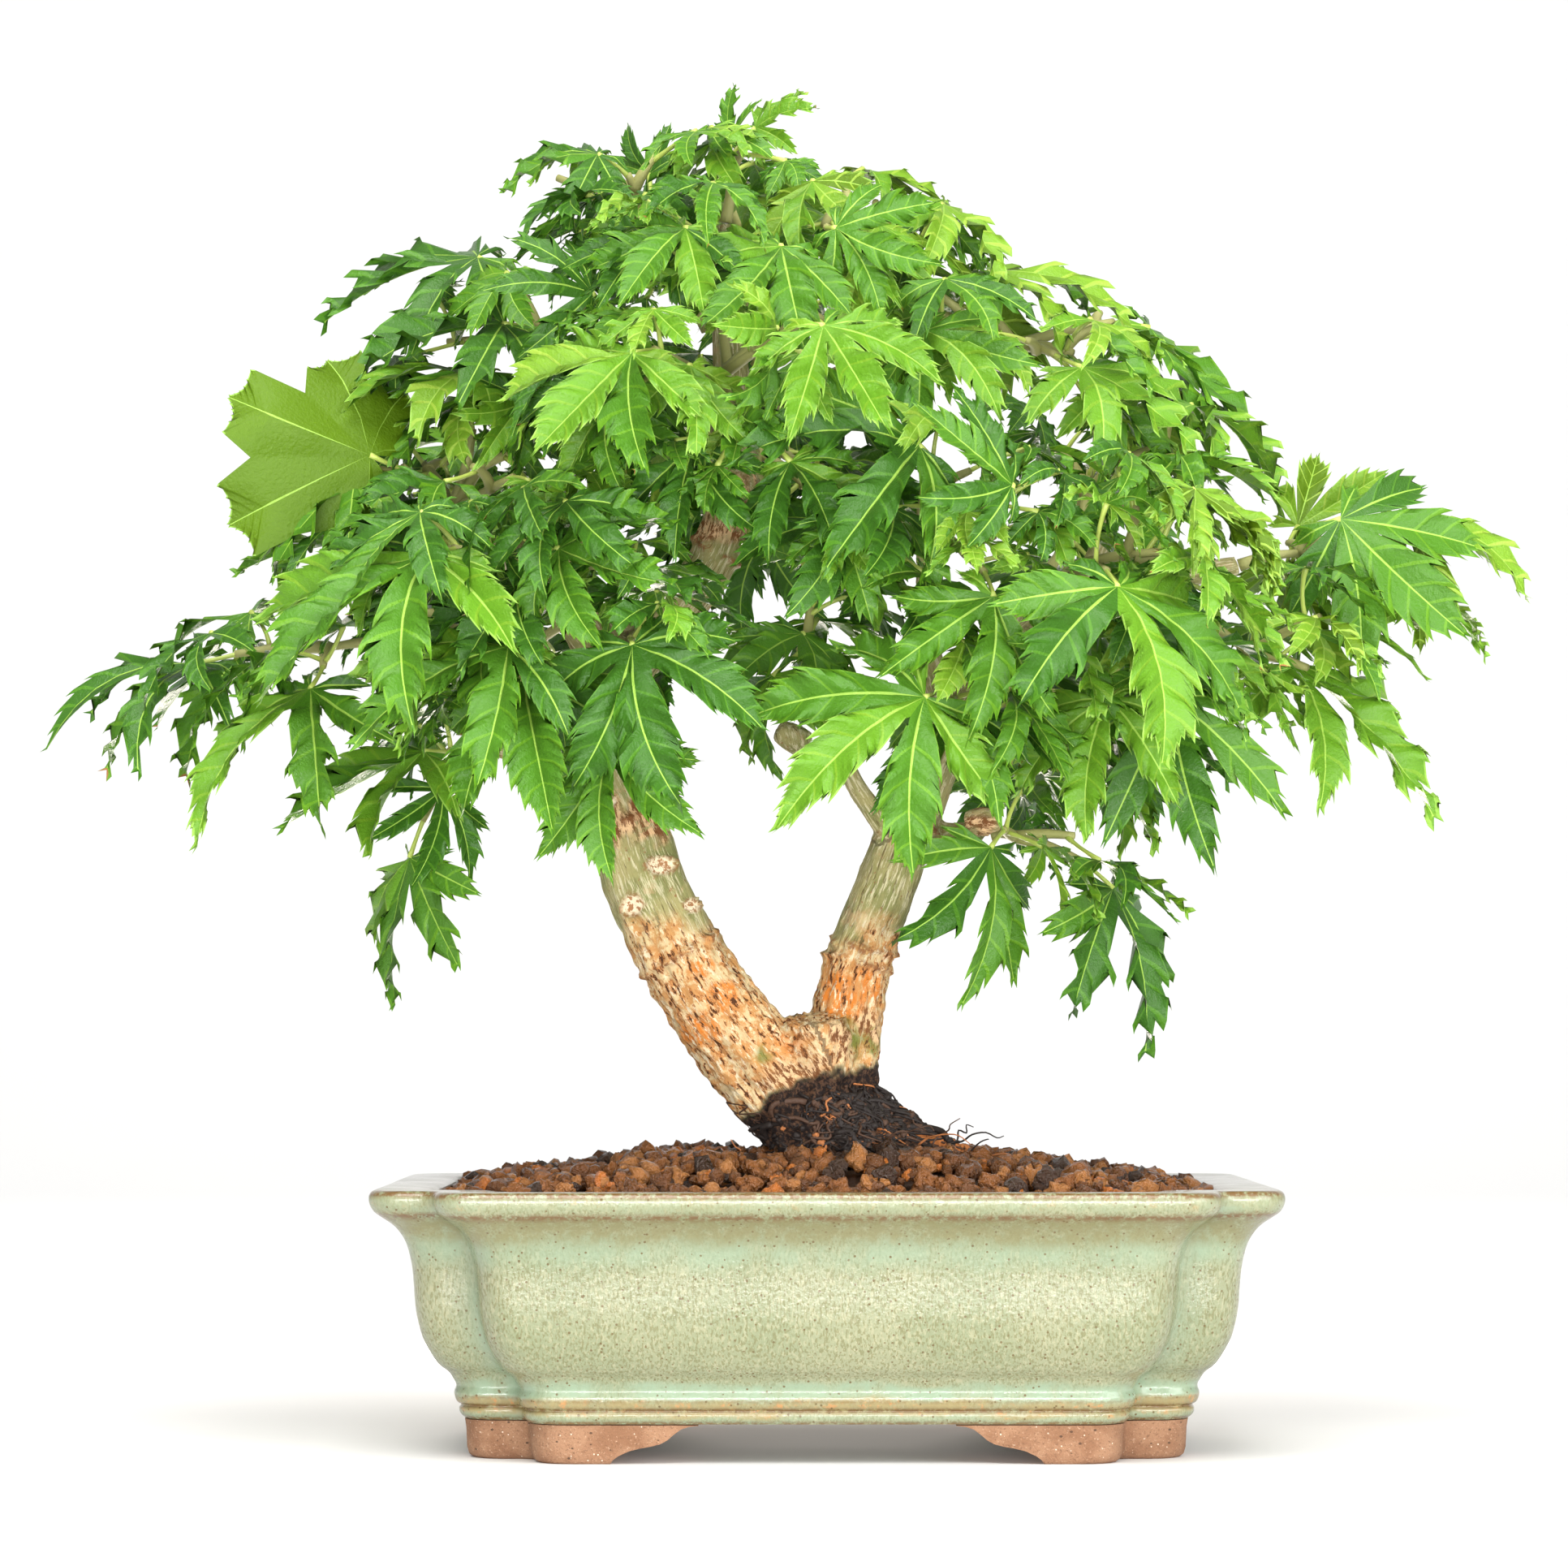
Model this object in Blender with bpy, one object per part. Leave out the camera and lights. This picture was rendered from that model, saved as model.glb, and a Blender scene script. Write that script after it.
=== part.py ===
"""A small maple bonsai with two stems in a glazed pot, in metres, +Z up, standing on the ground at z = 0.

The tree is made of tapering limbs and of masses of leaves. Each mass grows by a seeded rule: a stem that
starts clear of its limb, twigs that fan out from the stem's end, and leaves on stalks round each twig's tip.
Sizes are written in millimetres and turned into metres where a mesh is made.
"""

import math
import random

import bmesh
import bpy
from mathutils import Matrix, Vector
from mathutils.bvhtree import BVHTree

MM = 0.001
TOUCH = 0.3  # the clear gap between two solids that meet

# The pot: its plan is a rectangle whose corners are cut in, and its sides follow a moulded profile.
POT_LENGTH = 200.0
POT_DEPTH = 155.0
POT_HEIGHT = 59.5
FOOT_HEIGHT = 8.3
CORNER_CUT_X = 15.0  # how far the front panel's end stands inside the pot's end
CORNER_CUT_Y = 13.0  # how far the end panel's edge stands behind the pot's front
CORNER_RADIUS = 8.0
RIM_WIDTH = 13.0
# (height, distance inside the rim's outline) up the outside of the pot
OUTER_PROFILE = (
    (8.6, 18.6),
    (11.6, 18.8),
    (13.0, 16.6),
    (18.0, 16.6),
    (20.5, 14.6),
    (28.0, 10.2),
    (38.0, 8.8),
    (47.5, 7.2),
    (52.0, 4.2),
    (54.5, 0.9),
    (57.0, 0.0),
    (59.5, 0.9),
)
# The same down the inside, from the rim's inner edge to the pot's floor
INNER_PROFILE = ((59.5, 13.0), (52.0, 15.5), (30.0, 18.0), (15.0, 24.0))
POT_FLOOR = 15.0

FOOT_END_X = 26.0  # the foot's bracket reaches this near the middle of the front
FOOT_TOE_X = 48.0  # its flat underside starts here
FOOT_BACK_Y = 26.0

SOIL_EDGE = 57.0
SOIL_SHOULDER = 61.5
SOIL_TOP = 64.0
SOIL_PAD = (8.0, 2.0, 41.0, 27.0)  # centre x, y and half sizes of the flat ground under the trunk

TRUNK_FOOT = SOIL_TOP + TOUCH
# The root flare: (height, centre x, centre y, mean radius, how far the main root runs out to the right)
FLARE = (
    (TRUNK_FOOT, 4.0, 2.0, 17.5, 15.0),
    (67.5, 3.0, 2.0, 16.5, 10.0),
    (72.0, 1.0, 2.0, 15.0, 5.5),
    (78.0, -1.5, 1.5, 13.5, 2.0),
    (84.0, -3.0, 1.0, 12.5, 0.5),
)
FLARE_SIDES = 16
FLARE_LOBES = 5
FLARE_LOBE_DEPTH = 0.09

# The two stems as lines of (point, radius) from inside the root flare up, and the pieces they are cut into:
# (name, the point it starts at, the point it ends at). An arm is fused with the trunk's foot.
STEM_LINES = {
    "left": (
        ((-3, 0, 72.6), 11.4), ((-15.8, -2, 88.4), 11.1), ((-24.6, -3.3, 100), 10.7), ((-32, -4.6, 111.5), 10.1),
        ((-39.3, -6, 125.6), 9.5), ((-43.8, -6, 138.5), 8.9), ((-49.6, -4.5, 156), 7.9), ((-47.3, 0, 172.6), 6.8),
        ((-35.9, 4, 188.9), 6.0), ((-26, 6, 203.3), 5.6), ((-21.9, 6, 218.5), 5.3), ((-20.9, 4, 235.3), 4.7),
        ((-22.2, 2, 254), 3.9), ((-23, 1, 281), 2.4),
    ),
    "right": (
        ((3, 3, 76), 9.4), ((5.6, 5, 94), 8.3), ((7, 5, 101.5), 8.0), ((8.6, 5, 109), 7.8), ((14.8, 4, 125.8), 7.4),
        ((19.5, 2, 138.5), 7.1), ((26, 0, 155.7), 6.5), ((30.5, -2, 167.5), 5.9), ((43.6, -6, 180.2), 5.1),
        ((58.4, -8, 191.5), 4.4), ((76, -6, 197), 3.4), ((95, -4, 201), 2.4),
    ),
}
STEM_PIECES = {
    "left": (
        ("arm_left", 0, 2), ("stem_left_lower", 2, 5), ("stem_left_upper", 5, 7), ("trunk_upper", 7, 10),
        ("trunk_crown", 10, 13),
    ),
    "right": (("arm_right", 0, 2), ("stem_right_lower", 2, 5), ("stem_right_upper", 5, 7), ("bough_right_main", 7, 11)),
}
# Boughs: (parent, share of the way up it, bend, tip, radius at the foot, radius at the tip)
BOUGHS = {
    "bough_left_low": ("stem_left_upper", 0.66, (-76, -9, 182), (-101, -7, 183), 4.6, 2.2),
    "bough_left_drop": ("stem_left_upper", 0.3, (-63, 3, 155), (-75, 6, 159), 3.0, 1.7),
    "bough_left_front": ("stem_left_upper", 0.92, (-57, -19, 184), (-62, -31, 192), 3.6, 1.9),
    "bough_left_mid": ("trunk_upper", 0.16, (-60, -3, 196), (-76, -5, 208), 4.0, 2.0),
    "bough_left_back": ("trunk_upper", 0.34, (-53, 29, 194), (-68, 46, 201), 4.2, 2.2),
    "bough_centre_front": ("trunk_upper", 0.24, (-41, -22, 184), (-41, -33, 181), 3.2, 1.8),
    "bough_mid_front": ("trunk_crown", 0.1, (-24, -17, 231), (-25, -34, 235), 3.4, 1.8),
    "bough_upper_left": ("trunk_crown", 0.26, (-40, -1, 245), (-54, -4, 249), 3.2, 1.9),
    "bough_upper_right": ("trunk_crown", 0.34, (5, 0, 246), (31, -3, 249), 3.4, 1.9),
    "bough_upper_back": ("trunk_crown", 0.16, (-19, 28, 232), (-17, 46, 233), 3.4, 1.8),
    "bough_right_inner": ("stem_right_upper", 0.8, (24, -13, 180), (22, -24, 199), 3.6, 1.8),
    "bough_right_outer": ("bough_right_main", 0.55, (66, -2, 211), (72, -2, 220), 2.8, 1.7),
    "bough_right_front": ("bough_right_main", 0.34, (53, -23, 189), (53, -34, 193), 2.8, 1.7),
    "bough_right_low": ("stem_right_upper", 0.62, (52, -15, 166), (68, -22, 169), 3.4, 1.9),
    "bough_right_drop": ("stem_right_lower", 0.94, (32, 4, 140), (38, 6, 139.5), 2.7, 2.0),
    "bough_right_back": ("bough_right_main", 0.1, (44, 28, 192), (53, 46, 203), 3.8, 2.2),
    "bough_inner_stub": ("stem_right_lower", 0.86, (8.5, -3, 150), (3, -4, 162), 2.9, 1.8),
}
PATH_STEPS = 4

# Masses of leaves: (limb, share of the way up it, anchor, reach, leaves, leaf length, leading leaves).
# A leading leaf is (hub, tip), then how wide its lobes open and how deep its notches go where these differ.
MASSES = {
    "leaves_apex": (
        "trunk_crown", 1.0, (-22, 0, 292), 36, 6, 26,
        (((-16, -8, 302), (-2, -16, 305)), ((-22, 6, 301), (-21, 8, 315))),
    ),
    "leaves_crown_left": (
        "trunk_crown", 0.74, (-42, -8, 281), 44, 7, 30,
        (((-52, -18, 294), (-73, -24, 284)), ((-44, -32, 272), (-53, -52, 262)), ((-41, 8, 294), (-46, 14, 307))),
    ),
    "leaves_crown_front": (
        "trunk_crown", 0.5, (-25, -36, 265), 44, 7, 33,
        (((-31, -66, 269), (-45, -78, 250)), ((-10, -60, 266), (-28, -82, 244))),
    ),
    "leaves_crown_right": (
        "trunk_crown", 0.62, (8, -6, 274), 44, 9, 34,
        (((8, -14, 288), (29, -20, 286)), ((25, -4, 282), (37, -10, 268)), ((-3, -34, 285), (-6, -50, 263)), ((2, -54, 271), (26, -64, 261))),
    ),
    "leaves_crown_back": ("trunk_crown", 0.66, (-16, 46, 279), 46, 9, 33, ()),
    "leaves_upper_left": (
        "bough_upper_left", 1.0, (-65, -6, 253), 54, 10, 36,
        (((-80, -8, 272), (-115, -12, 256)), ((-73, -25, 254), (-105, -40, 240)), ((-52, -44, 258), (-78, -54, 257))),
    ),
    "leaves_upper_right": (
        "bough_upper_right", 1.0, (44, -4, 252), 54, 10, 36,
        (((38, -8, 269), (73, -10, 254)), ((58, -26, 244), (84, -36, 223)), ((76, 8, 258), (101, 12, 232)), ((22, -42, 250), (40, -56, 226))),
    ),
    "leaves_mid_front": (
        "bough_mid_front", 1.0, (-25, -46, 238), 52, 9, 36,
        (((-42, -84, 239), (-62, -98, 216)), ((-1, -90, 244), (13, -102, 219)), ((-11, -80, 245), (-24, -100, 224)), ((-47, -62, 232), (-43, -72, 208))),
    ),
    "leaves_left_mid": (
        "bough_left_mid", 1.0, (-86, -6, 213), 56, 10, 38,
        (((-103, -26, 224), (-137, -34, 216), 1.1, 0.75), ((-98, 12, 232), (-117, 16, 248)), ((-82, -18, 238), (-98, -28, 220)), ((-68, -28, 236), (-80, -42, 216))),
    ),
    "leaves_left_front": (
        "bough_left_front", 1.0, (-66, -42, 197), 62, 8, 42,
        (((-86, -80, 196), (-120, -92, 164)), ((-58, -74, 198), (-33, -86, 189))),
    ),
    "leaves_left_far": (
        "bough_left_low", 1.0, (-114, -6, 182), 64, 9, 36,
        (((-144, -10, 178), (-177, -16, 158)), ((-116, -28, 171), (-140, -38, 135)), ((-138, 16, 181), (-168, 16, 155))),
    ),
    "leaves_low_left_front": (
        "stem_left_upper", 0.6, (-61, -36, 170), 52, 7, 38,
        (((-69, -72, 177), (-101, -84, 155)), ((-66, -66, 170), (-59, -78, 137))),
    ),
    "leaves_left_drop": (
        "bough_left_drop", 1.0, (-86, 6, 156), 58, 6, 33,
        (((-96, 4, 134), (-99, 2, 100), 0.8), ((-92, -8, 158), (-124, -14, 140)), ((-88, 2, 150), (-96, -4, 124))),
    ),
    "leaves_centre_left_front": (
        "bough_centre_front", 1.0, (-41, -46, 173), 52, 7, 36,
        (((-42, -76, 177), (-31, -86, 141)), ((-47, -64, 155), (-46, -76, 126))),
    ),
    "leaves_centre_low": (
        "bough_inner_stub", 1.0, (-4, 2, 180), 46, 7, 36,
        (((-12, 2, 176), (-9, -2, 149)), ((-5, 6, 203), (-16, -8, 211))),
    ),
    "leaves_centre_back": (
        "bough_upper_back", 1.0, (-16, 58, 235), 52, 12, 36,
        (((-14, 44, 213), (-18, 54, 184)), ((4, 48, 216), (12, 60, 188))),
    ),
    "leaves_centre_right": (
        "bough_right_inner", 1.0, (22, -34, 208), 56, 9, 36,
        (((36, -70, 188), (30, -82, 156)), ((20, -68, 221), (-20, -84, 216)), ((40, -72, 212), (19, -84, 228))),
    ),
    "leaves_right_front": (
        "bough_right_front", 1.0, (55, -44, 197), 58, 8, 40,
        (((62, -82, 189), (70, -98, 150), 1.1), ((80, -70, 196), (98, -84, 170))),
    ),
    "leaves_low_centre": (
        "stem_right_upper", 0.35, (25, -32, 165), 54, 6, 42,
        (((21, -72, 166), (-11, -82, 137)), ((28, -62, 164), (17, -74, 126))),
    ),
    "leaves_right_outer": (
        "bough_right_outer", 1.0, (78, -2, 228), 58, 9, 38,
        (((84, -14, 237), (104, -22, 215)), ((66, -36, 218), (88, -48, 203))),
    ),
    "leaves_right_far": (
        "bough_right_main", 1.0, (110, -4, 204), 60, 9, 38,
        (((118, -12, 211), (149, -20, 180)), ((134, -2, 212), (163, -4, 193)), ((111, 14, 212), (132, 18, 225))),
    ),
    "leaves_right_far_low": (
        "bough_right_main", 0.8, (98, -2, 181), 58, 8, 38,
        (((108, 2, 179), (140, -4, 143)), ((101, -14, 176), (111, -18, 148)), ((120, -22, 188), (146, -28, 169))),
    ),
    "leaves_right_low": (
        "bough_right_low", 1.0, (78, -26, 170), 62, 8, 42,
        (((76, -46, 168), (86, -60, 123)), ((88, -30, 168), (100, -38, 145)), ((62, -54, 167), (56, -64, 133))),
    ),
    "leaves_right_drop": (
        "bough_right_drop", 1.0, (44, 8, 139), 66, 6, 36,
        (((38, -8, 136), (31, -14, 100), 0.8), ((67, 8, 127), (74, 4, 89), 0.8)),
    ),
    "leaves_back_left": ("bough_left_back", 1.0, (-78, 60, 214), 58, 12, 38, ()),
    "leaves_back_left_low": ("bough_left_back", 0.7, (-72, 54, 184), 52, 9, 38, ()),
    "leaves_back_right": ("bough_right_back", 1.0, (63, 62, 216), 58, 12, 38, ()),
    "leaves_back_right_low": ("bough_right_back", 0.6, (52, 56, 176), 54, 9, 38, ()),
}
CROWN_AXIS = Vector((-8.0, 4.0, 0.0))
STEM_RADIUS = 1.6
TWIG_RADIUS = (1.35, 1.15)
STALK_RADIUS = (0.5, 0.55)
STALK_STEP = 2.0  # stalks leave the twig this far apart, back from its tip
STALK_LENGTH = (9.0, 17.0)
TWIG_LENGTH = (13.0, 24.0)
LEAVES_PER_TWIG = 4
LEAF_TRIES = 24
GOLDEN_TURN = math.radians(137.5)
LOWEST_LEAF = 74.0  # leaves hang clear of the soil and the pot

# The crown's outline from in front, as (x, z) at the tree's middle plane: the free leaves keep between these
# two lines. EYE is where the outline is seen from.
EYE = (-9.4, -1100.0, 94.7)
CROWN_TOP = (
    (-180, 162), (-160, 184), (-142, 206), (-138, 242), (-116, 254), (-100, 274), (-80, 272), (-68, 297),
    (-45, 301), (-21, 308), (-2, 305), (12, 293), (28, 288), (39, 274), (57, 270), (72, 257), (95, 246),
    (103, 228), (128, 222), (147, 212), (165, 190),
)
CROWN_SKIRT = (
    (-180, 157), (-150, 150), (-120, 144), (-108, 160), (-103, 122), (-92, 122), (-86, 160), (-75, 162),
    (-62, 150), (-50, 138), (-36, 152), (-24, 170), (-10, 160), (5, 146), (20, 136), (34, 112), (70, 98),
    (82, 112), (92, 140), (103, 158), (125, 168), (150, 174), (165, 188),
)

# A leaf: seven lobes, (angle from the middle lobe, share of its length), with notches between them.
LOBES = ((0, 1.0), (42, 0.86), (84, 0.6), (128, 0.3))
NOTCH = 0.5
INNER_NOTCH = 0.22
LEAF_THICKNESS = 0.9
LEAF_BASE = 2.2  # how far behind the hub the stalk joins the blade
LEAF_DROOP = 24.0  # how far the side lobes hang below the middle lobe's plane, at a right angle to it

COLOURS = {
    "glaze": ((0.52, 0.60, 0.42), 0.22),
    "stoneware": ((0.36, 0.20, 0.13), 0.85),
    "soil": ((0.16, 0.06, 0.03), 0.9),
    "bark": ((0.50, 0.42, 0.30), 0.8),
    "leaf": ((0.10, 0.28, 0.05), 0.5),
}


def bent_path(foot, bend, tip):
    """Points evenly along the curve that runs through a foot, a bend and a tip."""
    pull = bend * 2 - (foot + tip) / 2
    shares = [i / PATH_STEPS for i in range(PATH_STEPS + 1)]
    return [foot * (1 - t) ** 2 + pull * (2 * t * (1 - t)) + tip * t * t for t in shares]


def on_line(line, place):
    """(point, radius, direction) at a place along a smooth line; its whole numbers are the line's points."""
    i = min(int(place), len(line) - 2)
    t = place - i
    near, far = Vector(line[i][0]), Vector(line[i + 1][0])
    before = Vector(line[i - 1][0]) if i > 0 else near * 2 - far
    after = Vector(line[i + 2][0]) if i + 2 < len(line) else far * 2 - near
    leave, arrive = (far - before) / 2, (after - near) / 2
    point = near * (2 * t**3 - 3 * t**2 + 1) + leave * (t**3 - 2 * t**2 + t)
    point += far * (3 * t**2 - 2 * t**3) + arrive * (t**3 - t**2)
    slope = (far - near) * (6 * t - 6 * t**2) + leave * (3 * t**2 - 4 * t + 1) + arrive * (3 * t**2 - 2 * t)
    return point, line[i][1] + (line[i + 1][1] - line[i][1]) * t, slope.normalized()


def stem_piece(line, first, last):
    """A piece of a stem. Where the line goes on it stops half of TOUCH short, square to the line."""
    path, radii = [], []
    for k in range((last - first) * 2 + 1):
        point, radius, direction = on_line(line, first + k / 2)
        places = [0.0]
        if k == 0 and first > 0:
            places = [TOUCH / 2, 1.5]
        elif k == (last - first) * 2 and last < len(line) - 1:
            places = [-1.5, -TOUCH / 2]
        for place in places:
            path.append(point + direction * place)
            radii.append(radius)
    return {"path": path, "radii": radii}


def at_share(path, share):
    """(point, direction) at a share of the way up a path."""
    place = share * (len(path) - 1)
    i = min(int(place), len(path) - 2)
    step = path[i + 1] - path[i]
    return path[i] + step * (place - i), step.normalized()


def off_limb(limb, share, aim, radius):
    """Where a stem of this radius starts so that it is clear of the limb by TOUCH, on its way to aim."""
    point, direction = at_share(limb["path"], share)
    towards = (aim - point).normalized()
    if share >= 1.0:
        normal, surface = direction, 0.0
    else:
        normal = (towards - direction * towards.dot(direction)).normalized()
        surface = limb["radii"][min(int(share * (len(limb["path"]) - 1)), len(limb["path"]) - 1)]
    lean = math.sqrt(max(0.0, 1 - towards.dot(normal) ** 2))
    return point + normal * (surface + TOUCH + radius * lean)


def make_limbs():
    """{name: {"path": points, "radii": one for each point}} of every stem and bough.

    A bough starts on its parent's middle line, and is cut later where it comes out of the parent.
    """
    limbs = {}
    for side, pieces in STEM_PIECES.items():
        for name, first, last in pieces:
            limbs[name] = stem_piece(STEM_LINES[side], first, last)
    for name, (parent, share, bend, tip, foot_radius, tip_radius) in BOUGHS.items():
        foot = at_share(limbs[parent]["path"], share)[0]
        taper = [foot_radius + (tip_radius - foot_radius) * i / PATH_STEPS for i in range(PATH_STEPS + 1)]
        limbs[name] = {"path": bent_path(foot, Vector(bend), Vector(tip)), "radii": taper}
    return limbs


def frame_of(direction):
    """Two unit vectors at right angles to a direction."""
    other = Vector((0, 0, 1)) if abs(direction.z) < 0.9 else Vector((1, 0, 0))
    first = direction.cross(other).normalized()
    return first, direction.cross(first).normalized()


def tube_faces(path, radii, sides):
    """(points, triangles) of a tapering tube, used only to test what touches what."""
    points, faces = [], []
    for i, (point, radius) in enumerate(zip(path, radii)):
        direction = (path[min(i + 1, len(path) - 1)] - path[max(i - 1, 0)]).normalized()
        first, second = frame_of(direction)
        for k in range(sides):
            turn = 2 * math.pi * k / sides
            points.append(point + (first * math.cos(turn) + second * math.sin(turn)) * radius)
    for i in range(len(path) - 1):
        for k in range(sides):
            a, b = i * sides + k, i * sides + (k + 1) % sides
            faces += [(a, b, b + sides), (a, b + sides, a + sides)]
    return points, faces


def leaf_edge(leaf):
    """The leaf's edge: tips and notches in order from one side of its base round to the other.

    A free leaf is drawn without the small pair of lobes at its base.
    """
    side = leaf["along"].cross(leaf["up"])
    lobes = LOBES[:-1] if leaf["free"] else LOBES
    spots = []
    for i, (angle, length) in enumerate(lobes):
        spots.append((angle, length))
        if i + 1 < len(lobes):
            notch = INNER_NOTCH if i == 2 else leaf["notch"]
            spots.append(((angle + lobes[i + 1][0]) / 2, notch))
    points = []
    for angle, share in [(-a, r) for a, r in reversed(spots[1:])] + spots:
        turn = math.radians(angle * leaf["spread"])
        drop = math.radians(LEAF_DROOP) * min(abs(angle) / 90, 1.2)
        flat = leaf["along"] * math.cos(turn) + side * math.sin(turn)
        reach = leaf["length"] * share
        points.append(leaf["hub"] + flat * reach * math.cos(drop) - leaf["up"] * reach * math.sin(drop))
    return points


def stalk_line(leaf):
    """Where a leaf's stalk starts, and where it ends at the blade's base."""
    return leaf["root"], leaf["hub"] - leaf["along"] * LEAF_BASE


def leaf_faces(leaf):
    """(points, triangles) of a leaf: a blade with a crown over its hub and one under it, and its stalk.

    The stalk has three sides: two of its edges end on the blade's base and the third behind it.
    """
    edge = leaf_edge(leaf)
    root, base = stalk_line(leaf)
    line = (base - root).normalized()
    side = leaf["along"].cross(leaf["up"])
    side = (side - line * side.dot(line)).normalized()
    back = leaf["up"] * max(line.dot(leaf["along"]), 0.0) - leaf["along"] * max(line.dot(leaf["up"]), 0.0)
    half = leaf["up"] * (LEAF_THICKNESS / 2)
    ends = [base + corner * STALK_RADIUS[1] for corner in (side, back.normalized(), -side)]
    starts = [root + corner * STALK_RADIUS[0] for corner in (side, side.cross(line), -side)]
    points = edge + ends + [leaf["hub"] + half, leaf["hub"] - half] + starts
    count = len(edge)
    top, under = count + 3, count + 4
    over = list(range(count + 3))
    below = list(range(count)) + [count, count + 2]
    faces = [(a, top, b) for a, b in zip(over, over[1:] + over[:1])]
    faces += [(b, under, a) for a, b in zip(below, below[1:] + below[:1])]
    first = count + 5
    for a, b in ((0, 1), (1, 2), (2, 0)):
        faces += [(count + a, count + b, first + b), (count + a, first + b, first + a)]
    faces.append((first, first + 1, first + 2))
    return points, faces


def blade_only(leaf):
    """The leaf's faces without its stalk, to test what the blade touches."""
    points, faces = leaf_faces(leaf)
    last = len(points) - 3
    return points[:last], [face for face in faces if max(face) < last]


def face_out(leaf_along, outward, lift, turn):
    """The leaf's upper side: out and up, at a right angle to its middle lobe."""
    up = outward + Vector((0, 0, lift))
    up = (up - leaf_along * up.dot(leaf_along)).normalized()
    return Matrix.Rotation(turn, 3, leaf_along) @ up


def make_leaf(hub, along, up, length, spread, notch, root, free):
    return {
        "hub": hub, "along": along, "up": up, "length": length, "spread": spread, "notch": notch, "root": root,
        "free": free,
    }


def outward_of(point):
    away = point - CROWN_AXIS
    away.z = 0
    return away.normalized()


def lead_leaf(lead, twig, draw, attempt):
    """A leading leaf as it was set out, a little smaller and turned further at each attempt."""
    hub, tip = Vector(lead[0]), Vector(lead[1])
    spread, notch = (lead + (1.0, NOTCH)[len(lead) - 2 :])[2:]
    along = (tip - hub).normalized()
    outward = outward_of(hub) * 0.7 + Vector((0, -0.5, 0))
    turn = math.radians(draw.uniform(-9, 9) * attempt)
    up = face_out(along, outward, 0.7, turn)
    length = (tip - hub).length * (1 - 0.015 * attempt)
    root = twig[-1] - (twig[-1] - twig[0]).normalized()
    return make_leaf(hub, along, up, length, spread * (1 - 0.015 * attempt), notch, root, False)


def free_leaf(mass, twig, slot, draw, attempt):
    """A leaf on a stalk from a twig's tip: each slot is turned a golden angle from the one before."""
    direction = (twig[-1] - twig[0]).normalized()
    tip = twig[-1] - direction * STALK_STEP * (slot + 1)
    first, second = frame_of(direction)
    turn = slot * GOLDEN_TURN + draw.uniform(-0.5, 0.5) + attempt * 0.9
    away = first * math.cos(turn) + second * math.sin(turn)
    stalk = direction * draw.uniform(0.2, 0.8) + away * 0.8 + Vector((0, 0, draw.uniform(0.1, 0.6)))
    stalk += outward_of(tip) * 0.35
    hub = tip + stalk.normalized() * draw.uniform(*STALK_LENGTH)
    heading = stalk.normalized() * 0.6 + outward_of(hub) * draw.uniform(0.2, 0.9)
    heading.z = 0
    along = (heading.normalized() - Vector((0, 0, draw.uniform(0.15, 1.5)))).normalized()
    up = face_out(along, outward_of(hub) * 0.5, 0.9, math.radians(draw.uniform(-28, 28)))
    length = mass["leaf"] * draw.uniform(0.8, 1.15) * (1 - 0.02 * attempt)
    return make_leaf(hub, along, up, length, draw.uniform(0.85, 1.12), NOTCH, tip, True)


class Space:
    """What is already grown, kept to test a new leaf against."""

    def __init__(self):
        self.held = []

    def add(self, owner, kind, points, faces):
        centre = sum(points, Vector()) / len(points)
        radius = max((p - centre).length for p in points)
        self.held.append((owner, kind, centre, radius, BVHTree.FromPolygons(points, faces)))

    def meets(self, owner, kind, points, faces, free_of):
        """True if these faces cross anything held, leaving out the pairs that free_of names."""
        centre = sum(points, Vector()) / len(points)
        radius = max((p - centre).length for p in points)
        tree = BVHTree.FromPolygons(points, faces)
        for other, other_kind, its_centre, its_radius, its_tree in self.held:
            if other == owner and (kind, other_kind) in free_of:
                continue
            if (centre - its_centre).length < radius + its_radius and tree.overlap(its_tree):
                return True
        return False


JOINED = {("stalk", "twig"), ("stalk", "stalk")}


def height_on(line, x):
    """The height of an outline at x, and of its end beyond it."""
    for (x0, z0), (x1, z1) in zip(line, line[1:]):
        if x0 <= x <= x1:
            return z0 + (z1 - z0) * (x - x0) / (x1 - x0)
    return line[0][1] if x < line[0][0] else line[-1][1]


def in_outline(point):
    """Whether a point lies inside the crown's outline as the eye sees it."""
    scale = -EYE[1] / (point.y - EYE[1])
    x = EYE[0] + (point.x - EYE[0]) * scale
    z = EYE[2] + (point.z - EYE[2]) * scale
    return CROWN_TOP[0][0] < x < CROWN_TOP[-1][0] and height_on(CROWN_SKIRT, x) < z < height_on(CROWN_TOP, x)


def well_hung(leaf):
    """A stalk has to reach its blade from behind or from under it, and not from the side."""
    root, base = stalk_line(leaf)
    line = (base - root).normalized()
    side = leaf["along"].cross(leaf["up"])
    return abs(side.dot(line)) < 0.8 and (line.dot(leaf["along"]) > 0.1 or line.dot(leaf["up"]) > 0.3)


def fits(space, name, leaf, mass):
    """Whether a leaf keeps to its mass's space and crosses nothing that is there."""
    points, faces = blade_only(leaf)
    if leaf["free"] and not all(in_outline(p) for p in points):
        return False
    if any((p - mass["anchor"]).length > mass["reach"] or p.z < LOWEST_LEAF for p in points):
        return False
    if not well_hung(leaf):
        return False
    root, base = stalk_line(leaf)
    if space.meets(name, "blade", points, faces, JOINED):
        return False
    return not space.meets(name, "stalk", *tube_faces([root, base], STALK_RADIUS, 3), JOINED)


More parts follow.
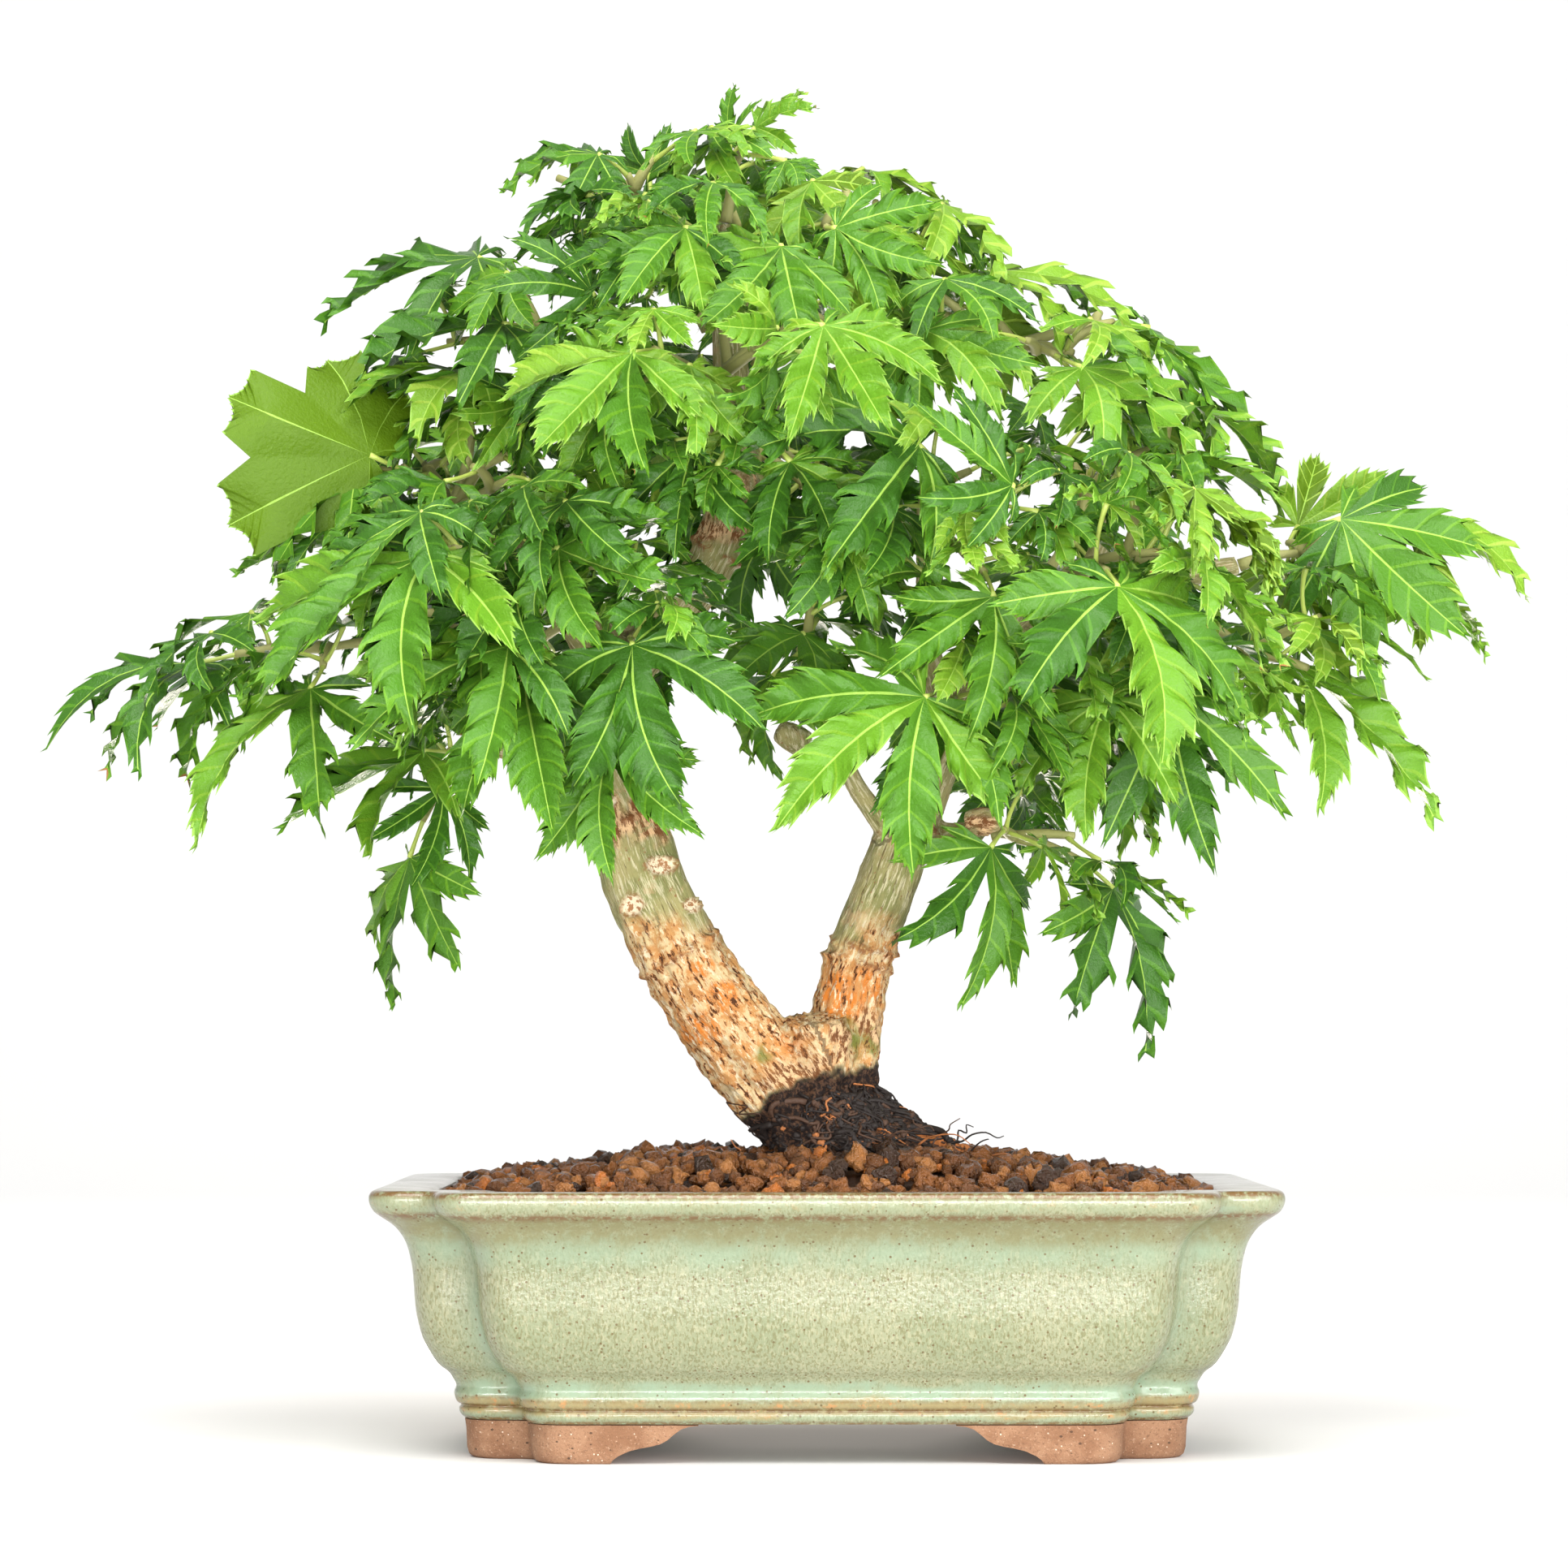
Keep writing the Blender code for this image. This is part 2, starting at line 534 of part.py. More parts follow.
def place(space, name, leaf):
    space.add(name, "blade", *blade_only(leaf))
    space.add(name, "stalk", *tube_faces(stalk_line(leaf), STALK_RADIUS, 3))


def start_mass(name, limbs):
    """A mass's stem and the twigs that carry its leading leaves."""
    limb, share, anchor, reach, count, leaf, leads = MASSES[name]
    anchor = Vector(anchor)
    twigs = []
    for lead in leads:
        hub, sink = Vector(lead[0]), (Vector(lead[1]) - Vector(lead[0])).normalized()
        back = (anchor - hub).normalized()
        twigs.append([anchor, hub + (back * 0.8 - sink * 0.35).normalized() * STALK_LENGTH[0]])
    stem = [off_limb(limbs[limb], share, anchor, STEM_RADIUS), anchor]
    return {
        "stem": stem, "twigs": twigs, "leaves": [], "anchor": anchor, "reach": reach, "count": count,
        "leaf": leaf, "leads": leads,
    }


def free_twigs(name, mass):
    """More twigs, fanned round the way from the stem and the tree's middle outwards."""
    draw = random.Random(name)
    anchor = mass["anchor"]
    heading = outward_of(anchor) * 0.8 + (anchor - mass["stem"][0]).normalized() + Vector((0, 0, 0.35))
    first, second = frame_of(heading.normalized())
    more = max(1, math.ceil(mass["count"] / LEAVES_PER_TWIG) + 1 - len(mass["leads"]))
    twigs = []
    for i in range(more):
        turn = i * GOLDEN_TURN + draw.uniform(0, 2)
        away = first * math.cos(turn) + second * math.sin(turn)
        direction = (heading.normalized() + away * (0.7 + 1.1 * i / more)).normalized()
        twigs.append([anchor, anchor + direction * draw.uniform(*TWIG_LENGTH)])
    return twigs


def try_leaves(space, name, mass, make, label):
    """Adds the first of make's leaves that fits, drawing each from its own seed."""
    for attempt in range(LEAF_TRIES):
        leaf = make(random.Random(f"{name} {label} {attempt}"), attempt)
        if fits(space, name, leaf, mass):
            mass["leaves"].append(leaf)
            place(space, name, leaf)
            return


def grow(limbs):
    """{mass name: its stem, twigs and leaves}, none of which crosses a limb or another mass."""
    space = Space()
    for name, limb in limbs.items():
        radii = [radius * 1.08 + 2 * TOUCH for radius in limb["radii"]]
        space.add(name, "limb", *tube_faces(limb["path"], radii, 8))
    masses = {name: start_mass(name, limbs) for name in MASSES}
    for name, mass in masses.items():
        for twig in [mass["stem"]] + mass["twigs"]:
            space.add(name, "twig", *tube_faces(twig, TWIG_RADIUS, 6))
    for name, mass in masses.items():
        for number, (lead, twig) in enumerate(zip(mass["leads"], mass["twigs"])):
            wide = dict(mass, reach=mass["reach"] * 1.4)
            make = lambda draw, attempt: lead_leaf(lead, twig, draw, attempt)
            try_leaves(space, name, wide, make, f"lead {number}")
    for name, mass in masses.items():
        for twig in free_twigs(name, mass):
            faces = tube_faces(twig, TWIG_RADIUS, 6)
            if not space.meets(name, "twig", *faces, {("twig", "twig")}):
                mass["twigs"].append(twig)
                space.add(name, "twig", *faces)
    for slot in range(LEAVES_PER_TWIG + 1):
        for name, mass in masses.items():
            for number, twig in enumerate(mass["twigs"]):
                if len(mass["leaves"]) < mass["count"]:
                    make = lambda draw, attempt: free_leaf(mass, twig, slot, draw, attempt)
                    try_leaves(space, name, mass, make, f"{number} {slot}")
    return masses


def clear_scene():
    for obj in list(bpy.data.objects):
        bpy.data.objects.remove(obj)


def make_material(name):
    colour, roughness = COLOURS[name]
    material = bpy.data.materials.new(name)
    material.use_nodes = True
    shader = material.node_tree.nodes["Principled BSDF"]
    shader.inputs["Base Color"].default_value = (*colour, 1.0)
    shader.inputs["Roughness"].default_value = roughness
    shader.inputs["Metallic"].default_value = 0.0
    return material


def new_object(name, mesh, collection, material=None):
    obj = bpy.data.objects.new(name, mesh)
    collection.objects.link(obj)
    if material:
        obj.data.materials.append(material)
    return obj


def mesh_from(name, points, faces):
    """A mesh in metres from points in millimetres, with its faces pointing out."""
    mesh = bpy.data.meshes.new(name)
    mesh.from_pydata([p * MM for p in points], [], faces)
    work = bmesh.new()
    work.from_mesh(mesh)
    bmesh.ops.recalc_face_normals(work, faces=work.faces)
    work.to_mesh(mesh)
    work.free()
    return mesh


def solid_of_modifiers(obj):
    """The object's mesh with its modifiers applied, in place."""
    bpy.context.view_layer.update()
    evaluated = obj.evaluated_get(bpy.context.evaluated_depsgraph_get())
    mesh = bpy.data.meshes.new_from_object(evaluated)
    obj.modifiers.clear()
    obj.data = mesh


def corner_arc(centre_x, centre_y, radius, start, turn, steps=2):
    """Points on an arc of a plan's corner, its angles in degrees."""
    angles = [math.radians(start + turn * i / steps) for i in range(steps + 1)]
    return [(centre_x + radius * math.cos(a), centre_y + radius * math.sin(a)) for a in angles]


def plan_outline(inset):
    """The pot's plan at a distance inside its rim: panels with rounded ends and corners that are cut in."""
    long_x, long_y = POT_LENGTH / 2 - inset, POT_DEPTH / 2 - inset
    cut_x = long_x - CORNER_CUT_X
    cut_y = long_y - CORNER_CUT_Y
    r = min(CORNER_RADIUS, 0.5 * (CORNER_CUT_X + CORNER_CUT_Y) - 2)
    quarter = corner_arc(long_x - r, cut_y - r, r, 0, 90)
    quarter += corner_arc(cut_x + 3.0, cut_y + 3.0, 3.0, 270, -90, 1)
    quarter += corner_arc(cut_x - r, long_y - r, r, 0, 90)
    outline = list(quarter)
    outline += [(-x, y) for x, y in reversed(quarter)]
    outline += [(-x, -y) for x, y in quarter]
    outline += [(x, -y) for x, y in reversed(quarter)]
    return outline


def loft(name, rings):
    """A closed mesh through rings of as many points each, with a cap at both ends."""
    count = len(rings[0])
    points = [Vector(p) for ring in rings for p in ring]
    faces = [tuple(reversed(range(count)))]
    for i in range(len(rings) - 1):
        for k in range(count):
            a, b = i * count + k, i * count + (k + 1) % count
            faces.append((a, b, b + count, a + count))
    last = (len(rings) - 1) * count
    faces.append(tuple(range(last, last + count)))
    return mesh_from(name, points, faces)


def pot_rings(profile):
    return [[(x, y, height) for x, y in plan_outline(inset)] for height, inset in profile]


def make_pot(collection, material):
    """The glazed body: up its moulded outside, over the rim and down to the floor inside."""
    mesh = loft("pot", pot_rings(OUTER_PROFILE + INNER_PROFILE))
    return new_object("pot", mesh, collection, material)


def make_feet(collection, cutters, material):
    """Four feet, each the corner of the lowest band, cut to a bracket's outline along the front."""
    top = OUTER_PROFILE[0][0] - TOUCH
    corner = [(0.0, 19.4), (top, 19.0)]
    side = [(FOOT_TOE_X, -1.0), (FOOT_TOE_X, 0.0), (FOOT_TOE_X - 6, 3.6), (FOOT_TOE_X - 16, 5.4)]
    side += [(FOOT_END_X, top + 1.0), (FOOT_END_X, top + 9.0), (POT_LENGTH, top + 9.0), (POT_LENGTH, -1.0)]
    for label, sign_x, sign_y in (("front_left", -1, -1), ("front_right", 1, -1), ("back_left", -1, 1), ("back_right", 1, 1)):
        foot = new_object(f"foot_{label}", loft("foot", pot_rings(corner)), collection, material)
        near, far = FOOT_BACK_Y * sign_y, POT_DEPTH * sign_y
        bracket = loft("bracket", [[(x * sign_x, y, z) for x, z in side] for y in (near, far)])
        cutter = new_object(f"bracket_{label}", bracket, cutters)
        cutter.hide_render, cutter.display_type = True, "WIRE"
        cut = foot.modifiers.new("bracket", "BOOLEAN")
        cut.operation, cut.object = "INTERSECT", cutter


def soil_height(x, y):
    """The soil's surface: low at the pot's wall, with a flat pad under the trunk."""
    pad_x, pad_y, half_x, half_y = SOIL_PAD
    share = math.hypot((x - pad_x) / half_x, (y - pad_y) / half_y)
    return SOIL_TOP if share <= 1.0 else SOIL_SHOULDER + (SOIL_TOP - SOIL_SHOULDER) * max(0.0, 2.0 - share)


def make_soil(collection, material):
    """The soil that fills the pot, its top heaped a little over the rim."""
    gap = 2 * TOUCH
    profile = [(POT_FLOOR + TOUCH, INNER_PROFILE[-1][1] + gap)]
    profile += [(height, inset + gap) for height, inset in reversed(INNER_PROFILE[1:-1])]
    profile += [(SOIL_EDGE, RIM_WIDTH + 1.0 + gap)]
    rings = pot_rings(profile)
    outline = plan_outline(RIM_WIDTH + 1.0 + gap)
    rings.append([(x * 0.93, y * 0.91, SOIL_SHOULDER) for x, y in outline])
    pad_x, pad_y, half_x, half_y = SOIL_PAD
    turns = [math.atan2(y / half_y, x / half_x) for x, y in outline]
    rings.append([(pad_x + half_x * math.cos(t), pad_y + half_y * math.sin(t), SOIL_TOP) for t in turns])
    return new_object("soil", loft("soil", rings), collection, material)


def limb_curve(name, limb, collection, sides):
    """A tapering limb as a curve with a section of so many sides (an even number) and closed ends."""
    curve = bpy.data.curves.new(name, "CURVE")
    curve.dimensions = "3D"
    curve.bevel_depth = MM
    curve.bevel_resolution = sides // 2 - 2
    curve.use_fill_caps = True
    spline = curve.splines.new("POLY")
    spline.points.add(len(limb["path"]) - 1)
    for i, point in enumerate(limb["path"]):
        spline.points[i].co = (*(point * MM), 1.0)
        spline.points[i].radius = limb["radii"][i]
    obj = bpy.data.objects.new(name, curve)
    collection.objects.link(obj)
    return obj


def mesh_of_curve(obj, collection):
    """The curve as a mesh object with its caps welded; the curve is removed."""
    bpy.context.view_layer.update()
    evaluated = obj.evaluated_get(bpy.context.evaluated_depsgraph_get())
    mesh = bpy.data.meshes.new_from_object(evaluated)
    work = bmesh.new()
    work.from_mesh(mesh)
    bmesh.ops.remove_doubles(work, verts=work.verts, dist=MM * 0.001)
    bmesh.ops.recalc_face_normals(work, faces=work.faces)
    work.to_mesh(mesh)
    work.free()
    name = obj.name
    bpy.data.objects.remove(obj)
    return new_object(name, mesh, collection)


def make_cutter(name, limb, cutters):
    """A limb's space, to cut the feet of the boughs that leave it: its flats stand TOUCH off the limb."""
    sides = 12
    wider = {"path": limb["path"], "radii": [(r + TOUCH) / math.cos(math.pi / sides) for r in limb["radii"]]}
    cutter = mesh_of_curve(limb_curve(f"space_{name}", wider, cutters, sides), cutters)
    cutter.hide_render, cutter.display_type = True, "WIRE"
    return cutter


def make_limb_solids(limbs, collection, cutters, material):
    """Every stem piece and bough, each bough cut to its parent's surface at its foot."""
    whole = {side: stem_piece(line, 0, len(line) - 1) for side, line in STEM_LINES.items()}
    spaces = {side: make_cutter(side, limb, cutters) for side, limb in whole.items()}
    sides = {name: side for side, pieces in STEM_PIECES.items() for name, _, _ in pieces}
    for name, limb in limbs.items():
        if name.startswith("arm_"):
            continue
        obj = mesh_of_curve(limb_curve(name, limb, collection, 8 if limb["radii"][0] > 5 else 6), collection)
        obj.data.materials.clear()
        obj.data.materials.append(material)
        if name in BOUGHS:
            cut = obj.modifiers.new("foot", "BOOLEAN")
            cut.operation, cut.object = "DIFFERENCE", spaces[sides[BOUGHS[name][0]]]


def flare_ring(height, centre_x, centre_y, radius, root):
    """One ring of the root flare: lobed, and drawn out to the right where the main root runs."""
    ring = []
    for k in range(FLARE_SIDES):
        turn = 2 * math.pi * k / FLARE_SIDES
        lobe = 1 + FLARE_LOBE_DEPTH * math.cos(FLARE_LOBES * turn)
        right = max(0.0, math.cos(turn)) ** 3 * root
        reach = radius * lobe + right
        ring.append((centre_x + reach * math.cos(turn), centre_y + reach * 0.95 * math.sin(turn), height))
    return ring


def join_all(base, others, collection):
    """One Boolean union of base with every piece in the collection, which is then emptied."""
    join = base.modifiers.new("join", "BOOLEAN")
    join.operation, join.operand_type, join.collection = "UNION", "COLLECTION", others
    join.solver = "EXACT"
    solid_of_modifiers(base)
    for obj in list(others.objects):
        bpy.data.objects.remove(obj)
    keep_largest(base.data)


def island_of(face, seen):
    """The faces joined to this one."""
    found, ahead = [], [face]
    seen.add(face)
    while ahead:
        here = ahead.pop()
        found.append(here)
        for edge in here.edges:
            for other in edge.link_faces:
                if other not in seen:
                    seen.add(other)
                    ahead.append(other)
    return found


def keep_largest(mesh):
    """Drops loose scraps, and sealed hollows, by keeping only the widest surface."""
    work = bmesh.new()
    work.from_mesh(mesh)
    seen, islands = set(), []
    for face in work.faces:
        if face not in seen:
            islands.append(island_of(face, seen))
    islands.sort(key=lambda faces: -sum(f.calc_area() for f in faces))
    loose = [f for faces in islands[1:] for f in faces]
    bmesh.ops.delete(work, geom=loose, context="FACES")
    work.to_mesh(mesh)
    work.free()


def make_trunk(limbs, collection, pieces, material):
    """The trunk's foot: a flat cut on the soil, a flare with its main root, and the two arms of the fork."""
    base = new_object("trunk", loft("trunk", [flare_ring(*row) for row in FLARE]), collection)
    for name in ("arm_left", "arm_right"):
        mesh_of_curve(limb_curve(name, limbs[name], pieces, 8), pieces)
    join_all(base, pieces, collection)
    base.data.materials.clear()
    base.data.materials.append(material)


def make_cone(start, end, radius, end_radius, pieces):
    """A three-sided tapering twig from start to end."""
    mesh = bpy.data.meshes.new("twig")
    work = bmesh.new()
    length = (end - start).length
    bmesh.ops.create_cone(
        work, cap_ends=True, segments=3, radius1=radius * MM, radius2=end_radius * MM, depth=length * MM
    )
    turn = (end - start).to_track_quat("Z", "Y").to_matrix().to_4x4()
    bmesh.ops.transform(work, matrix=Matrix.Translation((start + end) / 2 * MM) @ turn, verts=work.verts)
    work.to_mesh(mesh)
    work.free()
    return new_object("twig", mesh, pieces)


def make_mass(name, mass, collection, pieces, material):
    """A mass's stem, twigs, stalks and leaves, fused into one solid."""
    start, anchor = mass["stem"]
    past = anchor + (anchor - start).normalized() * 0.6
    base = make_cone(start, past, STEM_RADIUS, STEM_RADIUS * 0.9, collection)
    base.name = name
    for twig in mass["twigs"]:
        make_cone(*twig, *TWIG_RADIUS, pieces)
    for leaf in mass["leaves"]:
        new_object("leaf", mesh_from("leaf", *leaf_faces(leaf)), pieces)
    join_all(base, pieces, collection)
    base.data.materials.clear()
    base.data.materials.append(material)
    return base


def centre_on_origin(tree, cutters):
    """Moves everything so that the middle of the underside of the whole object's box is at the origin."""
    bpy.context.view_layer.update()
    depsgraph = bpy.context.evaluated_depsgraph_get()
    corners = []
    for obj in tree.objects:
        evaluated = obj.evaluated_get(depsgraph)
        corners += [evaluated.matrix_world @ Vector(corner) for corner in evaluated.bound_box]
    low = [min(corner[axis] for corner in corners) for axis in range(3)]
    high = [max(corner[axis] for corner in corners) for axis in range(2)]
    middle = Vector(((low[0] + high[0]) / 2, (low[1] + high[1]) / 2, low[2]))
    for obj in list(tree.objects) + list(cutters.objects):
        obj.location = obj.location - middle


def main():
    clear_scene()
    scene = bpy.context.scene.collection
    tree = bpy.data.collections.new("maple_bonsai")
    cutters = bpy.data.collections.new("cutters")
    pieces = bpy.data.collections.new("pieces")
    for collection in (tree, cutters, pieces):
        scene.children.link(collection)
    materials = {name: make_material(name) for name in COLOURS}
    make_pot(tree, materials["glaze"])
    make_feet(tree, cutters, materials["stoneware"])
    make_soil(tree, materials["soil"])
    limbs = make_limbs()
    make_trunk(limbs, tree, pieces, materials["bark"])
    make_limb_solids(limbs, tree, cutters, materials["bark"])
    for name, mass in grow(limbs).items():
        make_mass(name, mass, tree, pieces, materials["leaf"])
    centre_on_origin(tree, cutters)


main()
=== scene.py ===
"""The looks of a small two-stemmed maple bonsai in a glazed pot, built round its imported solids.

Lengths are in millimetres and places are measured from the middle of the pot's underside, with +X to the
right and +Y away from the front. They are turned into metres, in the frame's own place, where a mesh is made.
"""

import math
import random

import bmesh
import bpy
import numpy as np
from mathutils import Matrix, Vector, noise
from mathutils.bvhtree import BVHTree
from mathutils.kdtree import KDTree


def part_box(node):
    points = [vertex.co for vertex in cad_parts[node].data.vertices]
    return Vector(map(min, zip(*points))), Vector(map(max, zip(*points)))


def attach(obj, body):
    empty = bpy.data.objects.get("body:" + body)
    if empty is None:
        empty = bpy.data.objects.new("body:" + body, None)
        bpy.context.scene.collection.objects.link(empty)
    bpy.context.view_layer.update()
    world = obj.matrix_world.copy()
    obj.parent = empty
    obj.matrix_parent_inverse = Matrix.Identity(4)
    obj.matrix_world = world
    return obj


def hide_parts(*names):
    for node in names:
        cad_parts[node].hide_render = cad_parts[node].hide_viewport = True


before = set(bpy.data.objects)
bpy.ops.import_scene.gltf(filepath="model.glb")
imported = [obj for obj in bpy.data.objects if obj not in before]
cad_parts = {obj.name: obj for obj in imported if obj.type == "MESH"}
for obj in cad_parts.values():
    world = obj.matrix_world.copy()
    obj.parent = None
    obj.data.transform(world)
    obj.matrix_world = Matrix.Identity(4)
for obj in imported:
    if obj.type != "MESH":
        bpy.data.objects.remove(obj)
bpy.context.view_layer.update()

MM = 0.001
TOUCH = 0.3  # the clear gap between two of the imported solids
POT_BOX = [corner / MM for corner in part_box("pot")]
HOME = Vector(((POT_BOX[0].x + POT_BOX[1].x) / 2, (POT_BOX[0].y + POT_BOX[1].y) / 2, 0.0))

# The pot: its plan is a rectangle whose corners are cut in, and its sides follow a moulded profile.
POT_LENGTH = 200.0
POT_DEPTH = 155.0
CORNER_CUT_X = 15.0  # how far the front panel's end stands inside the pot's end
CORNER_CUT_Y = 13.0  # how far the end panel's edge stands behind the pot's front
CORNER_RADIUS = 8.0
NOOK_RADIUS = 3.0  # the round inside a cut-in corner
RIM_WIDTH = 13.0
FOOT_BACK_Y = 26.0  # the feet reach in to here from the front and the back

SOIL_EDGE = 57.0
SOIL_TOP = 64.0

TRUNK_FOOT = SOIL_TOP + TOUCH
# The root flare: (height, centre x, centre y, mean radius, how far the main root runs out to the right)
FLARE = (
    (TRUNK_FOOT, 4.0, 2.0, 17.5, 15.0),
    (67.5, 3.0, 2.0, 16.5, 10.0),
    (72.0, 1.0, 2.0, 15.0, 5.5),
    (78.0, -1.5, 1.5, 13.5, 2.0),
    (84.0, -3.0, 1.0, 12.5, 0.5),
)
FLARE_SIDES = 16
FLARE_LOBES = 5
FLARE_LOBE_DEPTH = 0.09

# The two stems as lines of (point, radius) from inside the root flare up, and the pieces they are cut into:
# (name, the point it starts at, the point it ends at). An arm is fused with the trunk's foot.
STEM_LINES = {
    "left": (
        ((-3, 0, 72.6), 11.4), ((-15.8, -2, 88.4), 11.1), ((-24.6, -3.3, 100), 10.7),
        ((-32, -4.6, 111.5), 10.1), ((-39.3, -6, 125.6), 9.5), ((-43.8, -6, 138.5), 8.9),
        ((-49.6, -4.5, 156), 7.9), ((-47.3, 0, 172.6), 6.8), ((-35.9, 4, 188.9), 6.0),
        ((-26, 6, 203.3), 5.6), ((-21.9, 6, 218.5), 5.3), ((-20.9, 4, 235.3), 4.7),
        ((-22.2, 2, 254), 3.9), ((-23, 1, 281), 2.4),
    ),
    "right": (
        ((3, 3, 76), 9.4), ((5.6, 5, 94), 8.3), ((7, 5, 101.5), 8.0), ((8.6, 5, 109), 7.8),
        ((14.8, 4, 125.8), 7.4), ((19.5, 2, 138.5), 7.1), ((26, 0, 155.7), 6.5), ((30.5, -2, 167.5), 5.9),
        ((43.6, -6, 180.2), 5.1), ((58.4, -8, 191.5), 4.4), ((76, -6, 197), 3.4), ((95, -4, 201), 2.4),
    ),
}
STEM_PIECES = {
    "left": (
        ("arm_left", 0, 2), ("stem_left_lower", 2, 5), ("stem_left_upper", 5, 7), ("trunk_upper", 7, 10),
        ("trunk_crown", 10, 13),
    ),
    "right": (
        ("arm_right", 0, 2), ("stem_right_lower", 2, 5), ("stem_right_upper", 5, 7),
        ("bough_right_main", 7, 11),
    ),
}
# Boughs: (parent, share of the way up it, bend, tip, radius at the foot, radius at the tip)
BOUGHS = {
    "bough_left_low": ("stem_left_upper", 0.66, (-76, -9, 182), (-101, -7, 183), 4.6, 2.2),
    "bough_left_drop": ("stem_left_upper", 0.3, (-63, 3, 155), (-75, 6, 159), 3.0, 1.7),
    "bough_left_front": ("stem_left_upper", 0.92, (-57, -19, 184), (-62, -31, 192), 3.6, 1.9),
    "bough_left_mid": ("trunk_upper", 0.16, (-60, -3, 196), (-76, -5, 208), 4.0, 2.0),
    "bough_left_back": ("trunk_upper", 0.34, (-53, 29, 194), (-68, 46, 201), 4.2, 2.2),
    "bough_centre_front": ("trunk_upper", 0.24, (-41, -22, 184), (-41, -33, 181), 3.2, 1.8),
    "bough_mid_front": ("trunk_crown", 0.1, (-24, -17, 231), (-25, -34, 235), 3.4, 1.8),
    "bough_upper_left": ("trunk_crown", 0.26, (-40, -1, 245), (-54, -4, 249), 3.2, 1.9),
    "bough_upper_right": ("trunk_crown", 0.34, (5, 0, 246), (31, -3, 249), 3.4, 1.9),
    "bough_upper_back": ("trunk_crown", 0.16, (-19, 28, 232), (-17, 46, 233), 3.4, 1.8),
    "bough_right_inner": ("stem_right_upper", 0.8, (24, -13, 180), (22, -24, 199), 3.6, 1.8),
    "bough_right_outer": ("bough_right_main", 0.55, (66, -2, 211), (72, -2, 220), 2.8, 1.7),
    "bough_right_front": ("bough_right_main", 0.34, (53, -23, 189), (53, -34, 193), 2.8, 1.7),
    "bough_right_low": ("stem_right_upper", 0.62, (52, -15, 166), (68, -22, 169), 3.4, 1.9),
    "bough_right_drop": ("stem_right_lower", 0.94, (32, 4, 140), (38, 6, 139.5), 2.7, 2.0),
    "bough_right_back": ("bough_right_main", 0.1, (44, 28, 192), (53, 46, 203), 3.8, 2.2),
    "bough_inner_stub": ("stem_right_lower", 0.86, (8.5, -3, 150), (3, -4, 162), 2.9, 1.8),
}
PATH_STEPS = 4

